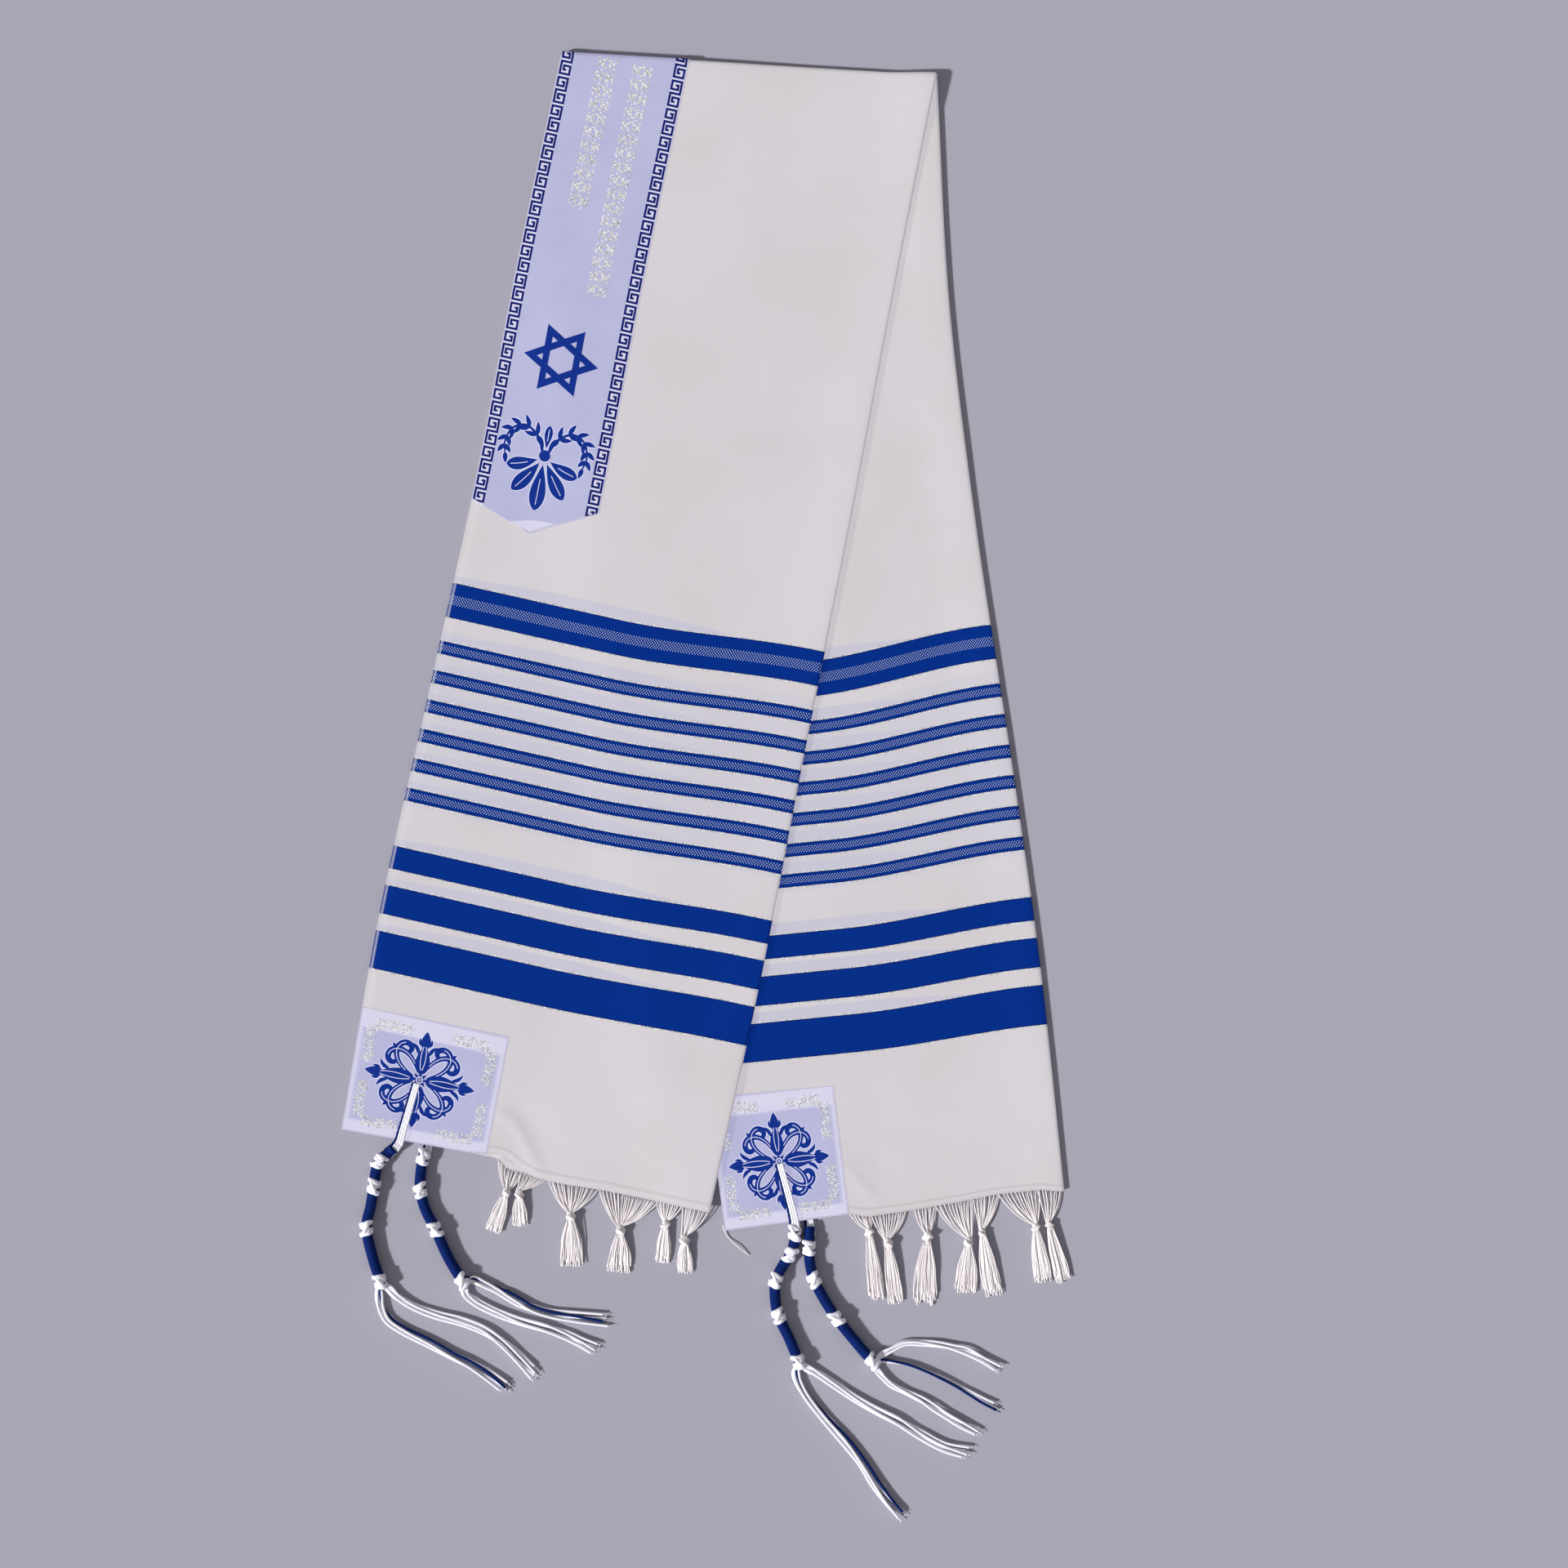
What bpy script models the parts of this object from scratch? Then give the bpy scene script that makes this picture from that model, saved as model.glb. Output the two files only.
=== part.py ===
"""Folded prayer shawl lying flat: a 0.60 x 1.83 m cloth with its neckband, corner patches and fringe.

The cloth is folded in half along its length, which makes a strip of two layers, and the strip is then
folded crosswise at the top. The front flap lies on the back flap and slants away from it to the left.
Metres, +Z up, +Y towards the crosswise fold. The table rows below are in millimetres.
"""
import math

import bmesh
import bpy
import numpy as np

MM = 0.001
FOOTPRINT_CENTRE = (-1.9, -0.3)   # where the tables put the middle of the footprint, in millimetres

# Cloth
STRIP_WIDTH = 300 * MM    # half the cut width of 600, since the cloth is folded lengthwise
WALL = 1.0 * MM
STRIP = 2.4 * MM          # both layers of the strip and the thin space between them
ROLL = 5.0 * MM           # thickness of the soft roll along the lengthwise fold
ROLL_START = 0.85         # share across where the roll begins
LIP_DEPTH = 4.0 * MM      # how far the two layers stand apart at a hem
FLAP_SPACE = 0.6 * MM     # front flap above the back flap
FOLD_PUFF = 3.4 * MM      # how much further the flaps are apart beside the crosswise fold
PUFF_REACH = 0.07         # share of a flap's length over which that settles
PUFF_AT_ROLL = 0.5        # share of it that is left over the roll
SEAM_GAP = 0.3 * MM
COVER_NEAR = 25 * MM      # the front flap comes down to the floor between these distances
COVER_FAR = 85 * MM       # from the hidden hem of the back flap

# Pieces sewn on
BAND_SHARE = 0.34         # neckband width as a share of the strip
PATCH_SHARE = {"front": 0.39, "back": 0.365}
PATCH_START = 0.887       # where along a flap the corner patches begin
PIECE_LIFT = SEAM_GAP + WALL
PATCH_EASE = 0.12         # shares over which the cloth comes down beside a patch or the band
PATCH_EASE_START = 0.83
BAND_EASE = 0.34
BAND_EASE_AHEAD = 0.12

# Fringe and corner cords
COIL_RADIUS = 4.6 * MM
KNOT_RADIUS = 5.4 * MM
BUNDLE_RADIUS = 2.0 * MM
CORD_RADIUS = 0.8 * MM
CORD_PITCH = 1.7 * MM     # between the loose strands of a group where they leave the last knot
GROUP_STEPS = 6
GROUP_OPENING = 0.12      # how much wider a group gets with each step
EDGE_LEAD = 3.0 * MM      # straight stretch of a cord that comes out under a fringed end
DROP_FROM = 2.3           # rows of a corner cord between which it comes down off the cloth
DROP_TO = 3.0
KNOT_WIDE = 0.85          # height, length and root spread of a tassel knot, as shares of its radius
KNOT_LONG = 1.35
ROOT_DEEP = 0.5
ROOT_SPREAD = 1.3
FAN_STRANDS = 6
FAN_RADIUS = 0.65 * MM
FAN_DROP = 0.65           # where the middle of a fan strand is, on the way down and sideways to the knot
FAN_DRAW = 0.35
SKIRT_STRANDS = 7
SKIRT_RADIUS = 0.8 * MM
SKIRT_LEVELS = 1.8 * MM   # height between the two layers of a skirt
SKIRT_BULGE = 0.12        # how much wider than straight a skirt is half way
SKIRT_ROUND = 3.0 * MM    # how much shorter the outer strands of a skirt are
FLOOR_GAP = 0.3 * MM

# Edges of the two flaps, from the crosswise fold (0) to the fringed end (1)
# share along, hem x, hem y, lengthwise fold x, lengthwise fold y
EDGES = {
    "front": (
        (0.0, -118.5, 584.0, 183.0, 566.5),
        (0.2, -155.0, 415.5, 148.0, 388.0),
        (0.4, -188.5, 242.0, 113.5, 205.0),
        (0.6, -226.5, 69.5, 77.0, 22.0),
        (0.8, -265.0, -103.0, 41.5, -161.0),
        (1.0, -295.5, -277.0, 1.5, -343.0),
    ),
    "back": (
        (0.0, -118.5, 584.0, 184.5, 565.5),
        (0.2, -92.5, 399.0, 194.0, 388.0),
        (0.4, -66.0, 210.0, 215.5, 208.5),
        (0.6, -39.5, 20.5, 242.5, 30.0),
        (0.8, -12.5, -168.5, 267.5, -149.0),
        (1.0, 13.0, -358.5, 286.5, -328.0),
    ),
}

# Waves of the fringed ends: share across, reach of the outer and of the inner layer past a straight end
END_WAVES = {
    "front": (
        (0.0, 0.0, 0.0),
        (0.34, -4.0, -4.0),
        (0.39, -6.0, -4.0),
        (0.42, -8.0, -4.0),
        (0.45, -6.5, 3.0),
        (0.485, 0.0, 3.5),
        (0.53, 4.5, 4.5),
        (0.61, 4.5, 4.5),
        (0.7, 2.6, 2.6),
        (1.0, 0.0, 0.0),
    ),
    "back": (
        (0.0, 0.0, 0.0),
        (0.34, -2.0, -2.0),
        (0.365, -2.5, -2.5),
        (0.42, 2.4, 1.5),
        (0.53, 1.0, 1.0),
        (0.7, -2.0, -2.0),
        (0.8, -4.5, -4.5),
        (0.93, -4.5, -4.5),
        (1.0, -1.0, -1.0),
    ),
}
WAVE_START = 0.85

# Grid lines of the strip. The pieces that lie on it use the same lines.
ACROSS = (0.0, 0.08, 0.17, 0.26, 0.34, 0.365, 0.39, 0.42, 0.45, 0.485, 0.53, 0.61, 0.7, 0.8, 0.87,
          0.93, 0.965, 0.99)
BAND_END = 0.4136
BAND_TIP = 0.438
TIP_HALF = 0.5 * (BAND_END + BAND_TIP)
ALONG = (0.0, 0.015, 0.04, 0.08, 0.13, 0.19, 0.26, 0.33, 0.39, BAND_END, TIP_HALF, BAND_TIP, 0.48,
         0.53, 0.6, 0.67, 0.74, 0.8, 0.845, 0.865, PATCH_START, 0.925, 0.962, 1.0)
TURN_STEPS = 6
NOSE_STEPS = 4

# Fringe tassels: name, flap, share across from and to, knot x, y, end x, y, knot and skirt width
TASSELS = (
    ("tassel_front_1", "front", 0.430, 0.488, -163.2, -328.3, -173.5, -358.5, 8.0, 13.0),
    ("tassel_front_2", "front", 0.494, 0.550, -152.5, -329.6, -151.5, -354.6, 8.0, 12.0),
    ("tassel_front_3", "front", 0.570, 0.687, -111.2, -347.4, -110.5, -386.2, 9.0, 18.0),
    ("tassel_front_4", "front", 0.705, 0.853, -71.1, -358.6, -72.4, -391.4, 9.0, 19.0),
    ("tassel_front_5", "front", 0.860, 0.915, -34.9, -353.9, -37.2, -383.6, 8.0, 11.0),
    ("tassel_front_6", "front", 0.930, 0.985, -19.7, -366.4, -19.1, -392.4, 9.0, 12.0),
    ("tassel_back_1", "back", 0.372, 0.425, 128.9, -360.5, 135.2, -412.5, 8.0, 12.0),
    ("tassel_back_2", "back", 0.437, 0.530, 144.1, -369.1, 150.5, -415.8, 9.0, 12.0),
    ("tassel_back_3", "back", 0.563, 0.618, 175.7, -363.8, 174.3, -417.1, 9.0, 18.0),
    ("tassel_back_4", "back", 0.626, 0.730, 209.0, -368.1, 206.9, -407.6, 8.5, 17.0),
    ("tassel_back_5", "back", 0.737, 0.804, 220.1, -360.2, 229.4, -409.5, 7.0, 14.0),
    ("tassel_back_6", "back", 0.812, 0.920, 263.0, -356.3, 269.7, -398.7, 7.5, 14.0),
    ("tassel_back_7", "back", 0.928, 0.985, 274.0, -354.3, 285.5, -399.0, 7.0, 12.0),
)

# Corner cords: the bound stretch as x, y and what is there, then the loose strands in groups
TZITZIT = {
    "tzitzit_front_upper": {
        "core": (
            (-234.9, -239.5, "bundle"), (-246.0, -277.0, "bundle"), (-249.5, -288.0, "bundle"),
            (-256.6, -295.1, "coil"), (-264.3, -302.2, "knot"), (-267.8, -311.5, "coil"),
            (-269.1, -322.4, "knot"), (-271.7, -338.5, "coil"), (-275.0, -355.9, "knot"),
            (-270.4, -378.9, "coil"), (-263.8, -398.7, "knot"),
        ),
        "groups": (
            (4, (-265.4, -408.0), (-262.5, -424.3), (-250.0, -436.8), (-225.0, -449.0), (-202.0, -461.5),
             (-182.2, -471.7), (-163.2, -485.9)),
            (4, (-257.6, -404.6), (-246.4, -414.4), (-225.0, -424.9), (-199.3, -431.5), (-176.0, -441.1),
             (-158.2, -456.2), (-140.5, -474.0)),
        ),
    },
    "tzitzit_front_under": {
        "from_edge": ("front", 0.232),
        "core": (
            (-229.2, -299.0, "knot"), (-231.6, -312.5, "coil"),
            (-231.7, -325.7, "knot"), (-227.6, -341.5, "coil"), (-219.7, -356.9, "knot"),
            (-209.9, -378.9, "coil"), (-198.0, -398.7, "knot"),
        ),
        "groups": (
            (4, (-190.5, -397.7), (-174.3, -404.6), (-159.2, -412.1), (-144.1, -420.3), (-120.3, -426.5),
             (-81.3, -430.8)),
            (4, (-196.8, -405.2), (-192.7, -412.7), (-177.0, -421.6), (-152.0, -431.2), (-126.3, -438.8),
             (-106.6, -446.7), (-91.4, -453.6)),
        ),
    },
    "tzitzit_back_upper": {
        "core": (
            (56.6, -304.3, "bundle"), (66.0, -339.0, "bundle"), (68.8, -352.5, "bundle"),
            (69.2, -359.9, "knot"), (68.6, -368.3, "coil"), (65.6, -377.3, "knot"),
            (59.4, -386.7, "coil"), (53.9, -397.9, "knot"), (53.3, -411.5, "coil"),
            (55.9, -426.3, "knot"), (64.5, -444.7, "coil"), (72.4, -463.2, "knot"),
        ),
        "groups": (
            (4, (69.9, -471.1), (72.6, -481.6), (82.2, -497.1), (100.0, -517.1), (117.8, -537.5),
             (130.3, -557.3), (142.8, -574.0), (154.3, -587.2)),
            (4, (78.5, -468.8), (92.1, -476.3), (112.5, -490.1), (132.9, -502.6), (157.9, -515.1),
             (182.9, -530.3), (208.5, -537.5)),
        ),
    },
    "tzitzit_back_under": {
        "from_edge": ("back", 0.247),
        "core": (
            (81.0, -360.6, "coil"), (80.5, -371.7, "knot"),
            (81.4, -384.7, "coil"), (84.6, -397.4, "knot"), (92.6, -413.2, "coil"),
            (102.6, -428.3, "knot"), (117.8, -447.4, "coil"), (131.6, -463.2, "knot"),
        ),
        "groups": (
            (3, (138.5, -458.6), (157.9, -449.3), (182.9, -450.3), (207.9, -455.9), (234.9, -469.7)),
            (2, (140.6, -463.2), (163.3, -467.5), (189.0, -478.0), (209.8, -489.5), (230.9, -500.4)),
            (3, (135.9, -471.1), (148.0, -482.9), (170.4, -494.7), (190.8, -507.2), (215.8, -520.4)),
        ),
    },
}


def smooth(value):
    """0 to 1 with level ends."""
    value = min(max(value, 0.0), 1.0)
    return value * value * (3 - 2 * value)


def lerp(a, b, share):
    return a + (b - a) * share


def catmull(points, share):
    """A smooth curve through evenly spaced points."""
    last = len(points) - 1
    place = min(max(share, 0.0), 1.0) * last
    k = min(int(place), last - 1)
    t = place - k
    p1 = points[k]
    p2 = points[k + 1]
    p0 = points[k - 1] if k else 2 * p1 - p2
    p3 = points[k + 2] if k + 2 <= last else 2 * p2 - p1
    return 0.5 * (2 * p1 + (p2 - p0) * t + (2 * p0 - 5 * p1 + 4 * p2 - p3) * t ** 2
                  + (3 * p1 - p0 - 3 * p2 + p3) * t ** 3)


HEM = {flap: [np.array(row[1:3]) * MM for row in rows] for flap, rows in EDGES.items()}
FOLD = {flap: [np.array(row[3:5]) * MM for row in rows] for flap, rows in EDGES.items()}


def flat_place(flap, across, along, reach=0.0):
    """Where a point of the strip lies seen from above."""
    hem = catmull(HEM[flap], along)
    fold = catmull(FOLD[flap], along)
    point = lerp(hem, fold, across)
    if reach:
        ahead = lerp(HEM[flap][-1], FOLD[flap][-1], across) - lerp(HEM[flap][-2], FOLD[flap][-2], across)
        point = point + ahead / np.linalg.norm(ahead) * reach
    return point


def end_reach(flap, layer, across, along):
    """How far the wavy fringed end moves a point along the strip."""
    rows = END_WAVES[flap]
    column = {"outer": 1, "inner": 2}[layer]
    wave = np.interp(across, [row[0] for row in rows], [row[column] for row in rows]) * MM
    share = max((along - WAVE_START) / (1 - WAVE_START), 0.0)
    return float(wave) * share ** 2


def locate(flap, point, rounds=12, pace=0.01):
    """Share across and along of a place seen from above, found by walking along the hem."""
    across = 0.5
    along = 0.5
    for _ in range(rounds):
        hem = catmull(HEM[flap], along)
        fold = catmull(FOLD[flap], along)
        width = fold - hem
        across = float(np.dot(point - hem, width) / np.dot(width, width))
        ahead = min(along + pace, 1.0)
        step = catmull(HEM[flap], ahead) - catmull(HEM[flap], ahead - pace)
        off = point - lerp(hem, fold, across)
        along += pace * float(np.dot(off, step) / np.dot(step, step))
        along = min(max(along, 0.0), 1.0)
    return across, along


def roll_share(across):
    """0 on the flat cloth, 1 on the soft roll of the lengthwise fold."""
    return smooth((across - ROLL_START) / (ACROSS[-1] - ROLL_START))


def thickness(across):
    return STRIP + (ROLL - STRIP) * roll_share(across)


def patch_lift(flap, across, along):
    """1 over a corner patch, falling to 0 beside it."""
    side = 1 - smooth((across - PATCH_SHARE[flap]) / PATCH_EASE)
    start = smooth((along - PATCH_EASE_START) / (PATCH_START - PATCH_EASE_START))
    return side * start


def band_lift(across, along):
    """1 over the neckband, falling to 0 beside it."""
    side = 1 - smooth((across - BAND_SHARE) / BAND_EASE)
    tip = 1 - smooth((along - BAND_TIP) / BAND_EASE_AHEAD)
    return side * tip


def back_under(across, along):
    """Height of the back flap's underside, over the hidden half of the band and the hidden patch."""
    across = max(across, 0.0)
    return PIECE_LIFT * max(band_lift(across, along), patch_lift("back", across, along))


def front_under(across, along):
    """Height of the front flap's underside: on the back flap, and left of it on the floor."""
    point = flat_place("front", across, along)
    back_across, back_along = locate("back", point)
    outside = -back_across * STRIP_WIDTH
    cover = 1 - smooth((outside - COVER_NEAR) / (COVER_FAR - COVER_NEAR))
    back_top = back_under(back_across, back_along) + thickness(back_across)
    back_top += PIECE_LIFT * patch_lift("back", max(back_across, 0.0), back_along)
    puff = FOLD_PUFF * (1 - smooth(along / PUFF_REACH)) * lerp(1.0, PUFF_AT_ROLL, roll_share(across))
    floor = PIECE_LIFT * patch_lift("front", across, along)
    return max(cover * (back_top + FLAP_SPACE), floor) + puff


def skins(flap, across, along):
    """Outer and inner skin of the strip. The outer one is on top in the front flap and below in the back."""
    outer = flat_place(flap, across, along, end_reach(flap, "outer", across, along))
    inner = flat_place(flap, across, along, end_reach(flap, "inner", across, along))
    if flap == "front":
        low = front_under(across, along)
        return np.array([*outer, low + thickness(across)]), np.array([*inner, low])
    low = back_under(across, along)
    return np.array([*outer, low]), np.array([*inner, low + thickness(across)])


def turn_skins(across, turn):
    """Outer and inner skin round the crosswise fold, from the front flap (0) to the back flap (1)."""
    front_outer, front_inner = skins("front", across, 0.0)
    back_outer, back_inner = skins("back", across, 0.0)
    edge = FOLD["front"][0] - HEM["front"][0]
    away = np.array([-edge[1], edge[0], 0.0]) / np.linalg.norm(edge)
    angle = math.pi * (0.5 - turn)
    made = []
    for top, low in ((front_outer, back_outer), (front_inner, back_inner)):
        radius = 0.5 * (top[2] - low[2])
        centre = lerp(top, low, turn)
        centre[2] = 0.5 * (top[2] + low[2])
        made.append(centre + away * radius * math.cos(angle) + np.array([0, 0, radius * math.sin(angle)]))
    return made


def station_skins(station, across):
    """Skins at a station: a flap and a share along it, or a share of the turn between the flaps."""
    kind, share = station
    if kind == "turn":
        return turn_skins(across, share)
    return skins(kind, across, share)


STATIONS = ([("front", share) for share in reversed(ALONG)]
            + [("turn", step / TURN_STEPS) for step in range(1, TURN_STEPS)]
            + [("back", share) for share in ALONG])


def unit(vector):
    return vector / np.linalg.norm(vector)


def strip_ring(station):
    """One ring of the strip: outer skin, rolled fold, inner skin and the open lips of the hem."""
    pairs = [station_skins(station, across) for across in ACROSS]
    outer = [pair[0] for pair in pairs]
    inner = [pair[1] for pair in pairs]
    out_dir = unit(outer[-1] - outer[0])
    middle = 0.5 * (outer[-1] + inner[-1])
    half = 0.5 * (outer[-1] - inner[-1])
    out_flat = unit(np.array([out_dir[0], out_dir[1], 0.0]))
    nose = []
    for step in range(1, NOSE_STEPS):
        angle = math.pi * (0.5 - step / NOSE_STEPS)
        nose.append(middle + half * math.sin(angle) + out_flat * np.linalg.norm(half) * math.cos(angle))
    through = unit(inner[0] - outer[0])
    groove = 0.5 * (outer[0] + inner[0]) + out_flat * LIP_DEPTH
    lips = [inner[0] - through * WALL, groove, outer[0] + through * WALL]
    return outer, nose, inner, lips


def new_object(name, mesh, material):
    obj = bpy.data.objects.new(name, mesh)
    obj.data.materials.clear()
    obj.data.materials.append(material)
    SHAWL_PARTS.objects.link(obj)
    return obj


def mesh_from(name, points, faces, smooth_angle=40):
    """A closed mesh of these faces, turned to face outwards."""
    mesh = bpy.data.meshes.new(name)
    mesh.from_pydata([tuple(point) for point in points], [], faces)
    built = bmesh.new()
    built.from_mesh(mesh)
    bmesh.ops.recalc_face_normals(built, faces=built.faces)
    built.to_mesh(mesh)
    built.free()
    mesh.shade_smooth()
    mesh.set_sharp_from_angle(angle=math.radians(smooth_angle))
    return mesh


def split_quad(a, b, c, d):
    """Two triangles with the fold from the first corner to the third, as on every piece of the strip."""
    return [(a, b, c), (a, c, d)]


def end_cap(points, faces, ring, offset, ahead):
    """Closes the strip at a fringed end, with a groove between its two layers."""
    outer, nose, inner, _ = ring
    count = len(outer)
    first_nose = count
    first_inner = count + len(nose)
    first_lip = first_inner + count
    columns = []
    for i in range(count):
        outer_index = offset + i
        inner_index = offset + first_inner + count - 1 - i
        if i == 0:
            columns.append((outer_index, offset + first_lip + 2, offset + first_lip + 1,
                            offset + first_lip, inner_index))
            continue
        through = unit(inner[i] - outer[i])
        depth = 0.0 if i == count - 1 else LIP_DEPTH
        added = (outer[i] + through * WALL, 0.5 * (outer[i] + inner[i]) - ahead * depth,
                 inner[i] - through * WALL)
        start = len(points)
        points.extend(added)
        columns.append((outer_index, start, start + 1, start + 2, inner_index))
    for a, b in zip(columns, columns[1:]):
        for k in range(4):
            faces.append((a[k], b[k], b[k + 1], a[k + 1]))
    last = columns[-1]
    rim = [last[1], last[0], *[offset + first_nose + k for k in range(len(nose))], last[4], last[3]]
    for a, b in zip(rim, rim[1:]):
        faces.append((last[2], a, b))


def make_shawl(material):
    """The cloth: one closed strip through all stations, parted into layers at its hems."""
    points = []
    faces = []
    rings = [strip_ring(station) for station in STATIONS]
    aheads = (unit(np.array([*(HEM["front"][-1] - HEM["front"][-2]), 0.0])),
              unit(np.array([*(HEM["back"][-1] - HEM["back"][-2]), 0.0])))
    rings[0][3][1] -= aheads[0] * LIP_DEPTH
    rings[-1][3][1] -= aheads[1] * LIP_DEPTH
    for outer, nose, inner, lips in rings:
        points.extend([*outer, *nose, *reversed(inner), *lips])
    size = len(points) // len(rings)
    for j in range(len(rings) - 1):
        for i in range(size):
            a = j * size + i
            b = j * size + (i + 1) % size
            on_inner = len(ACROSS) + NOSE_STEPS - 1 <= i < size - 4
            faces.extend(split_quad(b, a, a + size, b + size) if on_inner
                         else split_quad(a, b, b + size, a + size))
    end_cap(points, faces, rings[0], 0, aheads[0])
    end_cap(points, faces, rings[-1], (len(rings) - 1) * size, aheads[1])
    return new_object("shawl", mesh_from("shawl", points, faces), material)


def plate(name, base_rows, off_rows, material):
    """A closed plate between two grids of points."""
    rows = len(base_rows)
    columns = len(base_rows[0])
    points = [point for row in base_rows for point in row] + [point for row in off_rows for point in row]
    shift = rows * columns
    faces = []
    for j in range(rows - 1):
        for i in range(columns - 1):
            a = j * columns + i
            faces.extend(split_quad(a, a + 1, a + 1 + columns, a + columns))
            high = a + shift
            faces.extend(split_quad(high, high + 1, high + 1 + columns, high + columns))
    rim = ([(0, i) for i in range(columns)] + [(j, columns - 1) for j in range(1, rows)]
           + [(rows - 1, i) for i in range(columns - 2, -1, -1)] + [(j, 0) for j in range(rows - 2, 0, -1)])
    ids = [j * columns + i for j, i in rim]
    for a, b in zip(ids, ids[1:] + ids[:1]):
        faces.append((a, b, b + shift, a + shift))
    return new_object(name, mesh_from(name, points, faces), material)


def over_skin(station, across, side, away):
    """A point this far off the outer or inner skin, on the strip's own facets."""
    k = min(max(int(np.searchsorted(ACROSS, across, side="right")) - 1, 0), len(ACROSS) - 2)
    share = (across - ACROSS[k]) / (ACROSS[k + 1] - ACROSS[k])
    low_pair = station_skins(station, ACROSS[k])
    high_pair = station_skins(station, ACROSS[k + 1])
    outer = lerp(low_pair[0], high_pair[0], share)
    inner = lerp(low_pair[1], high_pair[1], share)
    through = unit(outer - inner)
    if side == "outer":
        return outer + through * away
    return inner - through * away


def make_band(material, tip_width=0.06):
    """The neckband: sewn along the hem, pointed at both ends, and folded over with the strip."""
    columns = [share for share in ACROSS if share <= BAND_SHARE]
    half = BAND_SHARE / 2
    base_rows = []
    off_rows = []
    for station in STATIONS:
        kind, share = station
        if kind != "turn" and share > BAND_TIP:
            continue
        spread = 1.0
        if kind != "turn" and share > BAND_END:
            spread = max(1 - (share - BAND_END) / (BAND_TIP - BAND_END), tip_width)
        row = [half + (column - half) * spread for column in columns]
        base_rows.append([over_skin(station, across, "outer", SEAM_GAP) for across in row])
        off_rows.append([over_skin(station, across, "outer", SEAM_GAP + WALL) for across in row])
    return plate("atarah", base_rows, off_rows, material)


def make_patches(material):
    """Four corner patches, two on top and two on the underside."""
    for flap in ("front", "back"):
        columns = [share for share in ACROSS if share <= PATCH_SHARE[flap]]
        stations = [station for station in STATIONS if station[0] == flap and station[1] >= PATCH_START]
        for side in ("outer", "inner"):
            on_top = (side == "outer") == (flap == "front")
            name = f"patch_{flap}_{'upper' if on_top else 'under'}"
            base = [[over_skin(station, column, side, SEAM_GAP) for column in columns] for station in stations]
            off = [[over_skin(station, column, side, PIECE_LIFT) for column in columns]
                   for station in stations]
            plate(name, base, off, material)


def tube_object(name, splines, radius_steps):
    """A curve of filled tubes. Each spline is a list of (point, radius)."""
    data = bpy.data.curves.new(name, "CURVE")
    data.dimensions = "3D"
    data.bevel_depth = 1.0
    data.bevel_resolution = radius_steps
    data.use_fill_caps = True
    for rows in splines:
        spline = data.splines.new("POLY")
        spline.points.add(len(rows) - 1)
        for target, (point, radius) in zip(spline.points, rows):
            target.co = (*point, 1.0)
            target.radius = radius
    curve = bpy.data.objects.new(name, data)
    SHAWL_PARTS.objects.link(curve)
    bpy.context.view_layer.update()
    mesh = bpy.data.meshes.new_from_object(curve.evaluated_get(bpy.context.evaluated_depsgraph_get()))
    bpy.data.objects.remove(curve)
    built = bmesh.new()
    built.from_mesh(mesh)
    bmesh.ops.remove_doubles(built, verts=built.verts, dist=1e-6)
    bmesh.ops.recalc_face_normals(built, faces=built.faces)
    built.to_mesh(mesh)
    built.free()
    return mesh


def join_to(head, strands_mesh, material):
    """Fuses the strands' roots into the head."""
    strands = bpy.data.objects.new(head.name + "_strands", strands_mesh)
    strands.hide_render = True
    strands.display_type = "WIRE"
    CUTTERS.objects.link(strands)
    union = head.modifiers.new("strands", "BOOLEAN")
    union.operation = "UNION"
    union.object = strands
    union.use_self = True
    head.data.materials.clear()
    head.data.materials.append(material)


def curve_through(points, count):
    """This many points on a smooth curve through the given ones."""
    points = [np.array(point, float) for point in points]
    return [catmull(points, k / (count - 1)) for k in range(count)]


def end_edge_point(flap, across):
    """A place just clear of the middle of a fringed end."""
    reach = max(end_reach(flap, "outer", across, 1.0), end_reach(flap, "inner", across, 1.0))
    flat = flat_place(flap, across, 1.0, reach + SEAM_GAP)
    outer, inner = skins(flap, across, 1.0)
    low = min(outer[2], inner[2])
    return np.array([*flat, low + 0.5 * thickness(min(across, ROLL_START))])


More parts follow.
